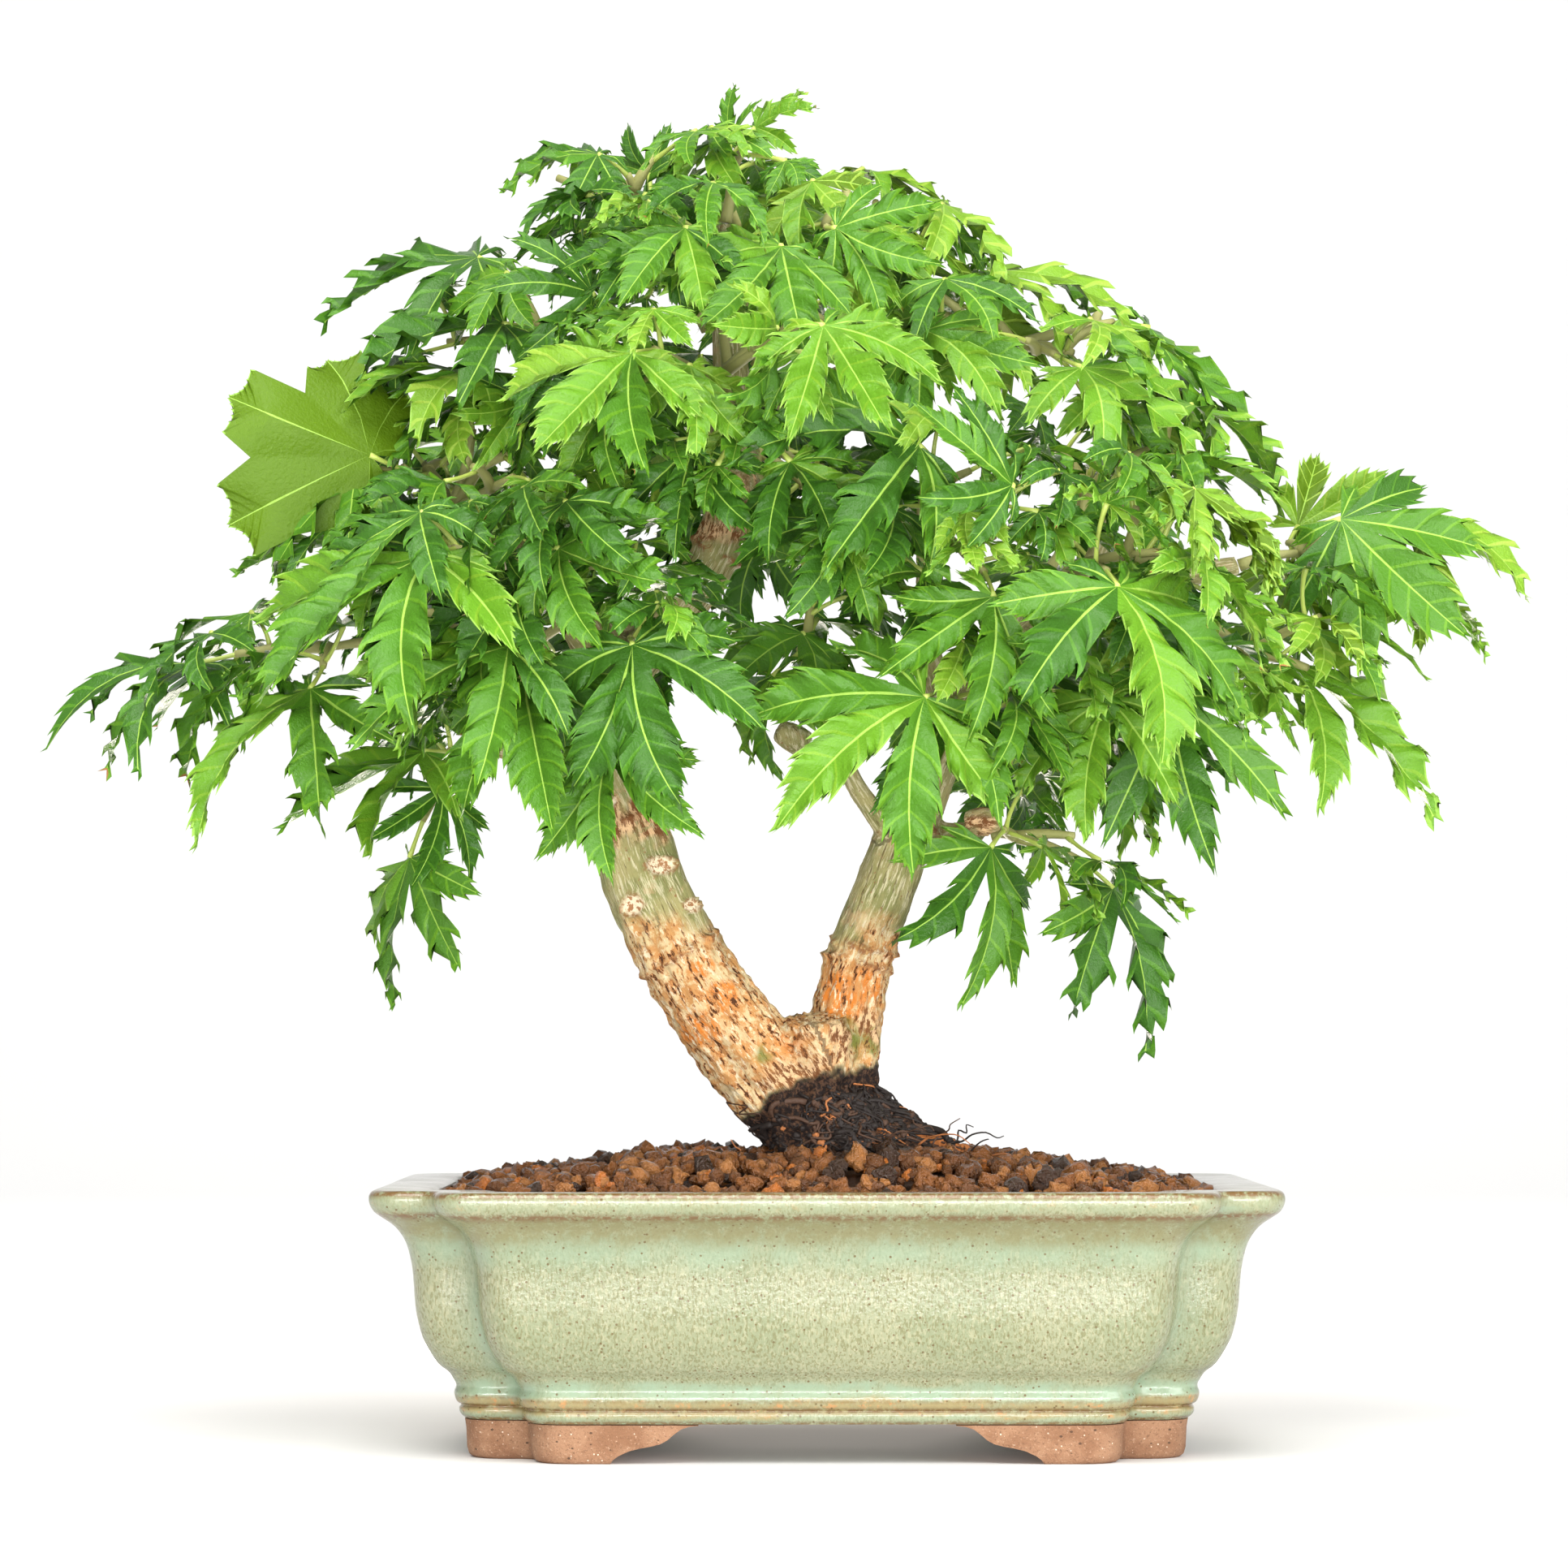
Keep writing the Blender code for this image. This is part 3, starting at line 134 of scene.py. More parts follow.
# Masses of leaves: (limb, share of the way up it, anchor, reach, leaves, leaf length, leading leaves).
# A leading leaf is (hub, tip), then how wide its lobes open and how deep its notches go where these differ.
MASSES = {
    "leaves_apex": (
        "trunk_crown", 1.0, (-22, 0, 292), 36, 6, 26,
        (((-16, -8, 302), (-2, -16, 305)), ((-22, 6, 301), (-21, 8, 315))),
    ),
    "leaves_crown_left": (
        "trunk_crown", 0.74, (-42, -8, 281), 44, 7, 30,
        (
            ((-52, -18, 294), (-73, -24, 284)), ((-44, -32, 272), (-53, -52, 262)),
            ((-41, 8, 294), (-46, 14, 307)),
        ),
    ),
    "leaves_crown_front": (
        "trunk_crown", 0.5, (-25, -36, 265), 44, 7, 33,
        (((-31, -66, 269), (-45, -78, 250)), ((-10, -60, 266), (-28, -82, 244))),
    ),
    "leaves_crown_right": (
        "trunk_crown", 0.62, (8, -6, 274), 44, 9, 34,
        (
            ((8, -14, 288), (29, -20, 286)), ((25, -4, 282), (37, -10, 268)),
            ((-3, -34, 285), (-6, -50, 263)), ((2, -54, 271), (26, -64, 261)),
        ),
    ),
    "leaves_crown_back": ("trunk_crown", 0.66, (-16, 46, 279), 46, 9, 33, ()),
    "leaves_upper_left": (
        "bough_upper_left", 1.0, (-65, -6, 253), 54, 10, 36,
        (
            ((-80, -8, 272), (-115, -12, 256)), ((-73, -25, 254), (-105, -40, 240)),
            ((-52, -44, 258), (-78, -54, 257)),
        ),
    ),
    "leaves_upper_right": (
        "bough_upper_right", 1.0, (44, -4, 252), 54, 10, 36,
        (
            ((38, -8, 269), (73, -10, 254)), ((58, -26, 244), (84, -36, 223)),
            ((76, 8, 258), (101, 12, 232)), ((22, -42, 250), (40, -56, 226)),
        ),
    ),
    "leaves_mid_front": (
        "bough_mid_front", 1.0, (-25, -46, 238), 52, 9, 36,
        (
            ((-42, -84, 239), (-62, -98, 216)), ((-1, -90, 244), (13, -102, 219)),
            ((-11, -80, 245), (-24, -100, 224)), ((-47, -62, 232), (-43, -72, 208)),
        ),
    ),
    "leaves_left_mid": (
        "bough_left_mid", 1.0, (-86, -6, 213), 56, 10, 38,
        (
            ((-103, -26, 224), (-137, -34, 216), 1.1, 0.75), ((-98, 12, 232), (-117, 16, 248)),
            ((-82, -18, 238), (-98, -28, 220)), ((-68, -28, 236), (-80, -42, 216)),
        ),
    ),
    "leaves_left_front": (
        "bough_left_front", 1.0, (-66, -42, 197), 62, 8, 42,
        (((-86, -80, 196), (-120, -92, 164)), ((-58, -74, 198), (-33, -86, 189))),
    ),
    "leaves_left_far": (
        "bough_left_low", 1.0, (-114, -6, 182), 64, 9, 36,
        (
            ((-144, -10, 178), (-177, -16, 158)), ((-116, -28, 171), (-140, -38, 135)),
            ((-138, 16, 181), (-168, 16, 155)),
        ),
    ),
    "leaves_low_left_front": (
        "stem_left_upper", 0.6, (-61, -36, 170), 52, 7, 38,
        (((-69, -72, 177), (-101, -84, 155)), ((-66, -66, 170), (-59, -78, 137))),
    ),
    "leaves_left_drop": (
        "bough_left_drop", 1.0, (-86, 6, 156), 58, 6, 33,
        (
            ((-96, 4, 134), (-99, 2, 100), 0.8), ((-92, -8, 158), (-124, -14, 140)),
            ((-88, 2, 150), (-96, -4, 124)),
        ),
    ),
    "leaves_centre_left_front": (
        "bough_centre_front", 1.0, (-41, -46, 173), 52, 7, 36,
        (((-42, -76, 177), (-31, -86, 141)), ((-47, -64, 155), (-46, -76, 126))),
    ),
    "leaves_centre_low": (
        "bough_inner_stub", 1.0, (-4, 2, 180), 46, 7, 36,
        (((-12, 2, 176), (-9, -2, 149)), ((-5, 6, 203), (-16, -8, 211))),
    ),
    "leaves_centre_back": (
        "bough_upper_back", 1.0, (-16, 58, 235), 52, 12, 36,
        (((-14, 44, 213), (-18, 54, 184)), ((4, 48, 216), (12, 60, 188))),
    ),
    "leaves_centre_right": (
        "bough_right_inner", 1.0, (22, -34, 208), 56, 9, 36,
        (
            ((36, -70, 188), (30, -82, 156)), ((20, -68, 221), (-20, -84, 216)),
            ((40, -72, 212), (19, -84, 228)),
        ),
    ),
    "leaves_right_front": (
        "bough_right_front", 1.0, (55, -44, 197), 58, 8, 40,
        (((62, -82, 189), (70, -98, 150), 1.1), ((80, -70, 196), (98, -84, 170))),
    ),
    "leaves_low_centre": (
        "stem_right_upper", 0.35, (25, -32, 165), 54, 6, 42,
        (((21, -72, 166), (-11, -82, 137)), ((28, -62, 164), (17, -74, 126))),
    ),
    "leaves_right_outer": (
        "bough_right_outer", 1.0, (78, -2, 228), 58, 9, 38,
        (((84, -14, 237), (104, -22, 215)), ((66, -36, 218), (88, -48, 203))),
    ),
    "leaves_right_far": (
        "bough_right_main", 1.0, (110, -4, 204), 60, 9, 38,
        (
            ((118, -12, 211), (149, -20, 180)), ((134, -2, 212), (163, -4, 193)),
            ((111, 14, 212), (132, 18, 225)),
        ),
    ),
    "leaves_right_far_low": (
        "bough_right_main", 0.8, (98, -2, 181), 58, 8, 38,
        (
            ((108, 2, 179), (140, -4, 143)), ((101, -14, 176), (111, -18, 148)),
            ((120, -22, 188), (146, -28, 169)),
        ),
    ),
    "leaves_right_low": (
        "bough_right_low", 1.0, (78, -26, 170), 62, 8, 42,
        (
            ((76, -46, 168), (86, -60, 123)), ((88, -30, 168), (100, -38, 145)),
            ((62, -54, 167), (56, -64, 133)),
        ),
    ),
    "leaves_right_drop": (
        "bough_right_drop", 1.0, (44, 8, 139), 66, 6, 36,
        (((38, -8, 136), (31, -14, 100), 0.8), ((67, 8, 127), (74, 4, 89), 0.8)),
    ),
    "leaves_back_left": ("bough_left_back", 1.0, (-78, 60, 214), 58, 12, 38, ()),
    "leaves_back_left_low": ("bough_left_back", 0.7, (-72, 54, 184), 52, 9, 38, ()),
    "leaves_back_right": ("bough_right_back", 1.0, (63, 62, 216), 58, 12, 38, ()),
    "leaves_back_right_low": ("bough_right_back", 0.6, (52, 56, 176), 54, 9, 38, ()),
}
CROWN_AXIS = Vector((-8.0, 4.0, 0.0))
STEM_RADIUS = 1.6
TWIG_RADIUS = (1.35, 1.15)
STALK_RADIUS = (0.5, 0.55)
STALK_STEP = 2.0  # stalks leave the twig this far apart, back from its tip
STALK_LENGTH = (9.0, 17.0)
TWIG_LENGTH = (13.0, 24.0)
LEAVES_PER_TWIG = 4
LEAF_TRIES = 24
GOLDEN_TURN = math.radians(137.5)
LOWEST_LEAF = 74.0  # leaves hang clear of the soil and the pot

# The crown's outline from in front, as (x, z) at the tree's middle plane: the free leaves keep between
# these two lines. EYE is where the outline is seen from.
EYE = (-9.4, -1100.0, 94.7)
CROWN_TOP = (
    (-180, 162), (-160, 184), (-142, 206), (-138, 242), (-116, 254), (-100, 274), (-80, 272), (-68, 297),
    (-45, 301), (-21, 308), (-2, 305), (12, 293), (28, 288), (39, 274), (57, 270), (72, 257), (95, 246),
    (103, 228), (128, 222), (147, 212), (165, 190),
)
CROWN_SKIRT = (
    (-180, 157), (-150, 150), (-120, 144), (-108, 160), (-103, 122), (-92, 122), (-86, 160), (-75, 162),
    (-62, 150), (-50, 138), (-36, 152), (-24, 170), (-10, 160), (5, 146), (20, 136), (34, 112), (70, 98),
    (82, 112), (92, 140), (103, 158), (125, 168), (150, 174), (165, 188),
)

# A leaf: seven lobes, (angle from the middle lobe, share of its length), with notches between them.
LOBES = ((0, 1.0), (42, 0.86), (84, 0.6), (128, 0.3))
NOTCH = 0.5
INNER_NOTCH = 0.22
LEAF_THICKNESS = 0.9
LEAF_BASE = 2.2  # how far behind the hub the stalk joins the blade
LEAF_DROOP = 24.0  # how far the side lobes hang below the middle lobe's plane, at a right angle to it

# The pot's look: (height, distance inside the rim's outline) up its glazed outside, over the rim and down
# its inside, and how finely its smooth profile and its corners are stepped
GLAZED_PROFILE = (
    (9.2, 30.0), (8.7, 21.0), (8.9, 19.8), (9.8, 18.9), (11.0, 18.7), (11.7, 19.1), (12.5, 18.1),
    (14.4, 17.6), (16.0, 18.0), (17.4, 17.4), (19.1, 16.3), (21.1, 14.1), (25.8, 11.5), (29.8, 10.3),
    (33.8, 9.6), (39.1, 9.2), (43.2, 8.7), (47.8, 7.5), (51.2, 5.4), (53.4, 2.7), (54.7, 1.1),
    (56.4, 0.2), (58.1, 0.1), (59.2, 0.8), (59.5, 2.2), (59.5, 6.0), (59.3, 11.4), (58.7, 12.8),
    (57.0, 13.4), (50.0, 15.0),
)
PROFILE_STEPS = 3
ARC_STEPS = 5
NOOK_STEPS = 2
PANEL_STEP = 5.0  # points along the straight panels are about this far apart
WOBBLE = 0.35  # how far the hand-made pot strays from its true outline
WOBBLE_FINENESS = (0.018, 0.018, 0.03)
WOBBLE_SEED = 7  # without a seed, vector noise starts from the clock
# Heights where the glaze pools green, thins or turns cream, and where olive is painted shade on the waist
# under the rim: (none below, full from, full to, none above, share)
GLAZE_BANDS = {
    "aqua": (
        (41, 46, 48.5, 51, 0.7), (13.2, 14.6, 16.8, 18.6, 1.0), (8.4, 9.4, 10.2, 11.2, 0.5),
        (54.8, 56.0, 58.0, 59.0, 0.5),
    ),
    "olive_shade": ((46.5, 50.0, 53.2, 54.6, 1.0),),
    "cream": ((9.6, 11.0, 13.4, 14.6, 1.0), (54.8, 56.0, 58.4, 59.4, 0.25)),
}
GLAZE_DRIFT = 1.6  # how far these bands wander up and down
GROOVE_SPREAD = 14.0  # how far the pool in a corner's groove spreads, squared
RIM_TOP = 58.0
WORN_LINE = (12.8, 0.6, 0.6)  # the worn inner edge of the rim: its distance inside, half width and share
# Heights where the glaze breaks brown over an edge: (height, half width, how much)
BROKEN_LINES = ((58.9, 0.7, 1.3), (54.0, 0.65, 1.2), (11.8, 0.5, 1.0), (13.6, 0.35, 0.6), (8.9, 0.5, 0.9))
FOOT_PROFILE = ((0.0, 21.6), (0.7, 20.8), (2.2, 20.4), (6.6, 20.2), (8.5, 19.9))
BRACKET = (
    (90.0, -1.0), (47.2, -1.0), (47.2, 0.0), (46.6, 0.9), (45.4, 1.8), (43.0, 2.9), (40.5, 3.5),
    (38.2, 3.9), (36.3, 4.4), (34.8, 5.2), (33.3, 6.5), (31.8, 7.6), (30.0, 8.2), (28.0, 8.4),
    (28.0, 9.0), (90.0, 9.0),
)
# The feet: (name, which side in x, which side in y), and the width of their softened edges
FEET = (("front_left", -1, -1), ("front_right", 1, -1), ("back_left", -1, 1), ("back_right", 1, 1))
FOOT_EDGE = 0.5

GRAIN_SIZE = (2.6, 5.2)  # the soil granules' mean radii run from half of this to half of that, and more
GRAINS = 1500
GRAIN_SHAPES = 12
FINE_GRAINS = 7  # the first shapes are finer, for the granules that are seen best
BED_STEP = 3.0
BED_SINK = 1.5  # how far the bed lies below the tops of its granules
SOIL_REACH = (POT_LENGTH / 2 - RIM_WIDTH - 1.0, POT_DEPTH / 2 - RIM_WIDTH - 1.0)

VOXEL = 0.8
LIMB_APART = 61.0  # how far apart two limbs lie in the bark's pattern
BARK_STRETCH = 0.17  # the bark's pattern is this much longer along a limb than round it

# The bark: surface roots as (which way they run, length, radius), and the line that the dark root mass
# reaches up to, as (x, z)
ROOTS = (
    (-62, 15, 3.2), (-35, 24, 3.6), (-12, 34, 4.6), (8, 30, 4.0), (38, 22, 3.4), (80, 16, 3.0),
    (125, 18, 3.4), (165, 19, 3.6), (198, 17, 3.4), (232, 15, 3.2), (268, 13, 3.2),
)
ROOT_CENTRE = (4, 2)
LOWEST_ROOT = SOIL_TOP + 1.5
ROOT_LINE = ((-30, 70), (-18, 74.4), (-7.7, 81), (0.7, 84.7), (12.8, 85.6), (20, 80), (40, 72))
# Knobs where old shoots were cut: (place, radius, heading)
KNOBS = (
    ((-68, -4, 172), 3.6, (-0.3, -1, 0.3)), ((-80, -5, 211), 3.0, (-0.6, -0.6, 0.6)),
    ((-21, -2, 220), 5.6, (-0.2, -1, 0.2)), ((45, -7, 178), 4.2, (-0.4, -0.8, 0.5)),
    ((27, -1, 186), 3.4, (-0.2, -0.4, 1)), ((-6, -4, 161), 3.2, (-0.8, -0.2, 0.4)),
    ((37, -3, 142), 3.2, (1, -0.3, 0.1)), ((-8, 1, 87), 5.2, (-0.15, 0, 1)),
    ((-1, -2, 84), 9.0, (0, -0.3, 1)), ((-50, 0, 185), 3.2, (-0.8, -0.3, 0.5)),
)
# Patches on the bark: (centre, reach along each axis)
RUST_SPOTS = (
    ((-21.5, -12, 101.5), (4.5, 9, 5.5)), ((-26, -13, 94), (6, 8, 4.6)), ((-31, -12, 92.5), (5, 8, 3.0)),
    ((3.6, -2, 103.5), (4.2, 8, 4.4)), ((6.5, -2, 99.5), (5, 8, 3.8)), ((12, -2, 104), (4, 8, 5.5)),
    ((-18, -9, 95), (4, 8, 4.0)), ((-6, -9, 90), (6, 8, 4)), ((-27, -12, 108), (3, 8, 3)),
)
SCARS = (
    ((-36.5, -15, 131.5), (3.2, 7, 2.0)), ((-42.5, -14, 122.7), (2.4, 7, 2.3)),
    ((-29.5, -13, 122.4), (1.9, 7, 1.6)), ((-49, -14, 146), (2.4, 8, 2.0)),
)
SORES = (
    ((-43, -12, 142), (11, 11, 7.5)), ((-24, 0, 209), (10, 12, 5)), ((-3, -8, 88), (8, 9, 6)),
    ((-9, -8, 84), (8, 9, 5)), ((23, -5, 141), (4, 8, 3.6)), ((14, -4, 96), (6, 9, 5)),
    ((5, -8, 91), (5, 9, 5)), ((-80, -5, 211), (8, 9, 8)), ((-21, -4, 220), (8, 9, 7)),
    ((27, -2, 186), (6, 8, 7)), ((45, -7, 178), (7, 8, 7)), ((-68, -5, 172), (6, 8, 6)),
    ((37, -3, 142), (5, 8, 5)),
)
BARE_SPOTS = (
    ((31, -8, 69.5), (11, 9, 4)), ((15, -14, 71), (2.4, 7, 6)), ((22, -12, 74), (4, 7, 2.5)),
    ((40, -8, 66), (6, 7, 3)), ((9, -14, 78), (1.6, 7, 3)),
)
MOSS_SPOTS = (((6.5, -3, 91.5), (4.5, 9, 5.0)), ((-13, -7, 88), (3.5, 9, 3.0)), ((12, -3, 92), (3, 9, 4)))
# Collars round a limb: (centre, the limb's direction, how far from the centre they reach)
RINGS = (
    ((-31.5, -4.6, 112.0), (-0.55, -0.1, 1.0), 15), ((10, 4.5, 113.3), (0.35, 0, 1), 12),
    ((9.5, 4.5, 110.0), (0.3, 0, 1), 12), ((-45, -6, 142), (-0.35, 0, 1), 13),
    ((-20.8, 4, 234), (0.1, 0, 1), 9), ((-22, 6, 216), (0.3, 0, 1), 10), ((-24, 6, 205), (0.5, 0, 1), 10),
    ((27, 0, 158), (0.4, 0, 1), 11), ((21, 2, 142), (0.4, 0, 1), 11),
)

STEM_SHIFT = 1.2  # the stems' bark stands this much further left, between the flare and the crown
RIDGE = 1.3  # torn wood in a sore lies in ridges this wide

ROOT_FIBRES = 170
ROOT_CRUMBS = 170  # small crumbs of soil that cling to the root mass
FIBRE_SHARES = (6, 2.6, 0.7)  # how often each of the fibre browns is drawn
# Root hairs that stand free: (foot, tip, how far they bow up)
HAIRS = (
    ((24, -16, 73), (37, -20, 70), 2.4), ((28, -15, 71), (46, -18, 70.5), 1.2),
    ((26, -14, 72), (33, -17, 77), 0.5), ((33, -16, 69), (41, -19, 73), 1.0),
    ((35, -15, 68), (47, -16, 66.5), 1.6), ((20, -17, 75), (30, -22, 73.5), 2.0),
    ((-19, -15, 67), (-24.5, -19, 73), 0.3), ((-16, -17, 66), (-27, -22, 66), 1.5),
    ((30, -14, 70), (36, -15, 75), 0.8),
)

BIG_LEAF = {
    "mass": "leaves_left_mid", "tip": (-133, -30, 236), "up": (-0.1, -0.95, 0.3), "length": 34.0,
    "notch": 2.1, "spread": 1.14, "web": 0.7, "shares": (0.3, 0.62, 1.04, 1.0, 0.76, 0.62, 0.3),
    "rays": (0.2, 0.36, 0.66, 0.8, 0.6, 0.46, 0.34, 0.2),
}
# A blade's seven lobes: (angle, share of the leaf's length, teeth a side, widest half width over length)
BLADE_LOBES = (
    (-128, 0.3, 2, 0.22), (-84, 0.62, 4, 0.2), (-42, 0.88, 5, 0.186), (0, 1.0, 6, 0.18),
    (42, 0.88, 5, 0.186), (84, 0.62, 4, 0.2), (128, 0.3, 2, 0.22),
)
INNER_ROWS = 2
SINUS_FOOT = 0.13  # the middle line's place level with the notches between the lobes
RAY_SHARES = (0.055, 0.09, 0.14, 0.185, 0.185, 0.14, 0.09, 0.055)  # how far out each notch lies
# One tooth up a lobe's edge: (place, share of the width, how far its edge runs ahead, whether a vein
# ends here)
TOOTH = (
    (0.05, 0.83, 0.0, False), (0.24, 0.95, 0.15, False), (0.31, 0.88, 0.0, False), (0.53, 1.0, 0.15, False),
    (0.60, 0.92, 0.0, False), (0.86, 1.02, 0.15, False), (0.94, 1.05, 0.4, True),
)
PLAIN_TOOTH = ((0.05, 0.82, 0.0, False), (0.80, 1.0, 0.15, False), (0.92, 1.04, 0.4, True))
# How wide a lobe is from its foot to its tip: (places, shares of its half width)
LOBE_SHAPE = ((0, 0.1, 0.25, 0.45, 0.65, 0.82, 0.93, 1), (0.4, 0.66, 0.96, 1.0, 0.76, 0.42, 0.18, 0.03))
# The same for the corners of the broad leaf
WEB_SHAPE = ((0, 0.15, 0.35, 0.6, 0.85, 1), (0.34, 0.27, 0.18, 0.1, 0.04, 0.01))
FINE_FRONT, FINE_LENGTH = -52.0, 44.0  # smaller leaves that hang further back have plainer teeth
RIB_WIDTH = (0.34, 0.1)
EDGE_WIDTH = 0.3
SLANT = 0.85
FULL_LENGTH = 38  # the leaf length that the widths of ribs and edges are given for
BLADE, RIB, EDGE, TIP, VEIN = range(5)  # the kinds of faces in a leaf

# Finer twigs: how long they are, how large their leaves are, and placed leaves as (mass, hub, tip)
FINER_TWIG = (7.0, 15.0)
FINER_SIZE = 0.78
OPEN_MASSES = (
    "leaves_right_low", "leaves_right_drop", "leaves_left_drop", "leaves_right_far_low", "leaves_right_far",
    "leaves_left_far", "leaves_centre_low", "leaves_low_centre",
)
FINER_LEADS = (
    ("leaves_left_front", (-42, -62, 198), (-68, -70, 203)),
    ("leaves_centre_left_front", (-37, -64, 199), (-47, -76, 173)),
    ("leaves_mid_front", (-29, -60, 222), (-33, -72, 196)),
    ("leaves_left_front", (-50, -50, 212), (-38, -62, 186)),
    ("leaves_centre_right", (3, -52, 206), (-9, -66, 184)),
    ("leaves_left_mid", (-66, -44, 216), (-62, -54, 188)),
    ("leaves_upper_left", (-48, -30, 240), (-44, -44, 212)),
    ("leaves_mid_front", (-8, -64, 218), (4, -76, 192)),
)
# Leaves that are left out where the crown is open to the sky, by their order in the mass
LEFT_OUT = {
    "leaves_left_far": (3,), "leaves_right_far": (3, 7), "leaves_crown_right": (0, 5, 10),
    "leaves_apex": (7,), "leaves_crown_left": (3, 13), "leaves_right_low": (1,),
    "leaves_right_drop": (3,), "leaves_left_mid": (8,), "leaves_right_far_low": (2,),
    "leaves_crown_back": (8,),
}

# Colours of the leaves: (name, colour, roughness); five blade greens, deep to bright, that also serve as
# painted shade and light, then ribs, edges that are a painted highlight, veins and dry tips
LEAF_GREENS = (
    ("deep", (0.036, 0.118, 0.010), 0.34), ("mid", (0.061, 0.176, 0.012), 0.34),
    ("fresh", (0.102, 0.245, 0.014), 0.34), ("bright", (0.145, 0.285, 0.018), 0.36),
    ("yellow", (0.084, 0.165, 0.003), 0.5), ("rib", (0.26, 0.43, 0.06), 0.42),
    ("edge", (0.22, 0.40, 0.055), 0.45), ("vein", (0.24, 0.37, 0.04), 0.4),
    ("dry", (0.28, 0.13, 0.04), 0.7),
)
LEAF_TINTS = {name: number for number, (name, _, _) in enumerate(LEAF_GREENS)}
YELLOW = LEAF_TINTS["yellow"]
DRY_SHARE = 0.12  # the share of the leaves that have dry tips
# The greens that the leaves of each part of the crown are drawn from, over their own mix: deepest at the
# back, which is painted shade, and brightest at the right, which is painted light
SHADED_AND_LIT_SPRAYS = {
    "back": (0, 0, 1), "drop": (0, 1, 1, 2), "right_low": (0, 1, 1, 2), "left": (0, 0, 1, 1, 2),
    "centre": (0, 1, 1, 2, 2), "right": (1, 1, 2, 2, 3), "crown": (0, 1, 1, 2),
}
# Browns of the granules; the first, darkest one is drawn most round the trunk, and on the bed below the
# granules it is painted shade in their gaps
SOIL_BROWNS = (
    (0.036, 0.014, 0.005), (0.120, 0.041, 0.009), (0.205, 0.071, 0.015), (0.310, 0.122, 0.031),
    (0.40, 0.118, 0.016),
)
GRAIN_SHARES = (0.8, 3, 3, 1.6, 0.7)  # how common each of the soil's browns is
FIBRE_BROWNS = ((0.012, 0.006, 0.004), (0.06, 0.026, 0.012), (0.36, 0.125, 0.035))
STALK_GREEN = (0.42, 0.52, 0.10)
TWIG_BROWN = (0.33, 0.33, 0.11)
TWIG_TAPER = (1.5, 0.85)  # a twig's radii at its foot and its tip

# The light of a white room, and lamps: (name, place, aim, width and height in metres, power, colour)
ROOM_LIGHT = 0.40
PAPER = (0.77, 0.768, 0.763)
LIGHTS = (
    ("key", (-260, -880, 1600), (0, 0, 160), 1.2, 1.2, 40, (1, 0.985, 0.95)),
    ("fill", (1000, -900, 600), (0, 0, 150), 1.0, 1.0, 17, (1, 1, 1)),
    ("low", (0, -1100, 70), (0, 0, 25), 1.4, 0.12, 15, (1, 1, 1)),
    ("under", (0, 360, 32), (0, 0, -10), 0.2, 0.03, 1.2, (1, 0.9, 0.82)),
    ("backdrop", (0, 700, 1600), (0, 2600, 700), 2.4, 0.8, 29, (1, 1, 1)),
)
LENS = 109.6
CAMERA_TILT = 92.96
FLOOR_END = 1.6  # where the white floor starts to curve up, and the curve's radius, in metres
FLOOR_CURVE = 1.2


def bent_path(foot, bend, tip):
    """Points evenly along the curve that runs through a foot, a bend and a tip."""
    pull = bend * 2 - (foot + tip) / 2
    shares = [i / PATH_STEPS for i in range(PATH_STEPS + 1)]
    return [foot * (1 - t) ** 2 + pull * (2 * t * (1 - t)) + tip * t * t for t in shares]


def on_line(line, place):
    """(point, radius, direction) at a place along a smooth line; its whole numbers are the line's points."""
    i = min(int(place), len(line) - 2)
    t = place - i
    near, far = Vector(line[i][0]), Vector(line[i + 1][0])
    before = Vector(line[i - 1][0]) if i > 0 else near * 2 - far
    after = Vector(line[i + 2][0]) if i + 2 < len(line) else far * 2 - near
    leave, arrive = (far - before) / 2, (after - near) / 2
    point = near * (2 * t**3 - 3 * t**2 + 1) + leave * (t**3 - 2 * t**2 + t)
    point += far * (3 * t**2 - 2 * t**3) + arrive * (t**3 - t**2)
    slope = (far - near) * (6 * t - 6 * t**2) + leave * (3 * t**2 - 4 * t + 1) + arrive * (3 * t**2 - 2 * t)
    return point, line[i][1] + (line[i + 1][1] - line[i][1]) * t, slope.normalized()


def stem_piece(line, first, last):
    """A piece of a stem. Where the line goes on it stops half of TOUCH short, square to the line."""
    path, radii = [], []
    for k in range((last - first) * 2 + 1):
        point, radius, direction = on_line(line, first + k / 2)
        places = [0.0]
        if k == 0 and first > 0:
            places = [TOUCH / 2, 1.5]
        elif k == (last - first) * 2 and last < len(line) - 1:
            places = [-1.5, -TOUCH / 2]
        for place in places:
            path.append(point + direction * place)
            radii.append(radius)
    return {"path": path, "radii": radii}


def at_share(path, share):
    """(point, direction) at a share of the way up a path."""
    place = share * (len(path) - 1)
    i = min(int(place), len(path) - 2)
    step = path[i + 1] - path[i]
    return path[i] + step * (place - i), step.normalized()


def off_limb(limb, share, aim, radius):
    """Where a stem of this radius starts so that it is clear of the limb by TOUCH, on its way to aim."""
    point, direction = at_share(limb["path"], share)
    towards = (aim - point).normalized()
    if share >= 1.0:
        normal, surface = direction, 0.0
    else:
        normal = (towards - direction * towards.dot(direction)).normalized()
        surface = limb["radii"][min(int(share * (len(limb["path"]) - 1)), len(limb["path"]) - 1)]
    lean = math.sqrt(max(0.0, 1 - towards.dot(normal) ** 2))
    return point + normal * (surface + TOUCH + radius * lean)


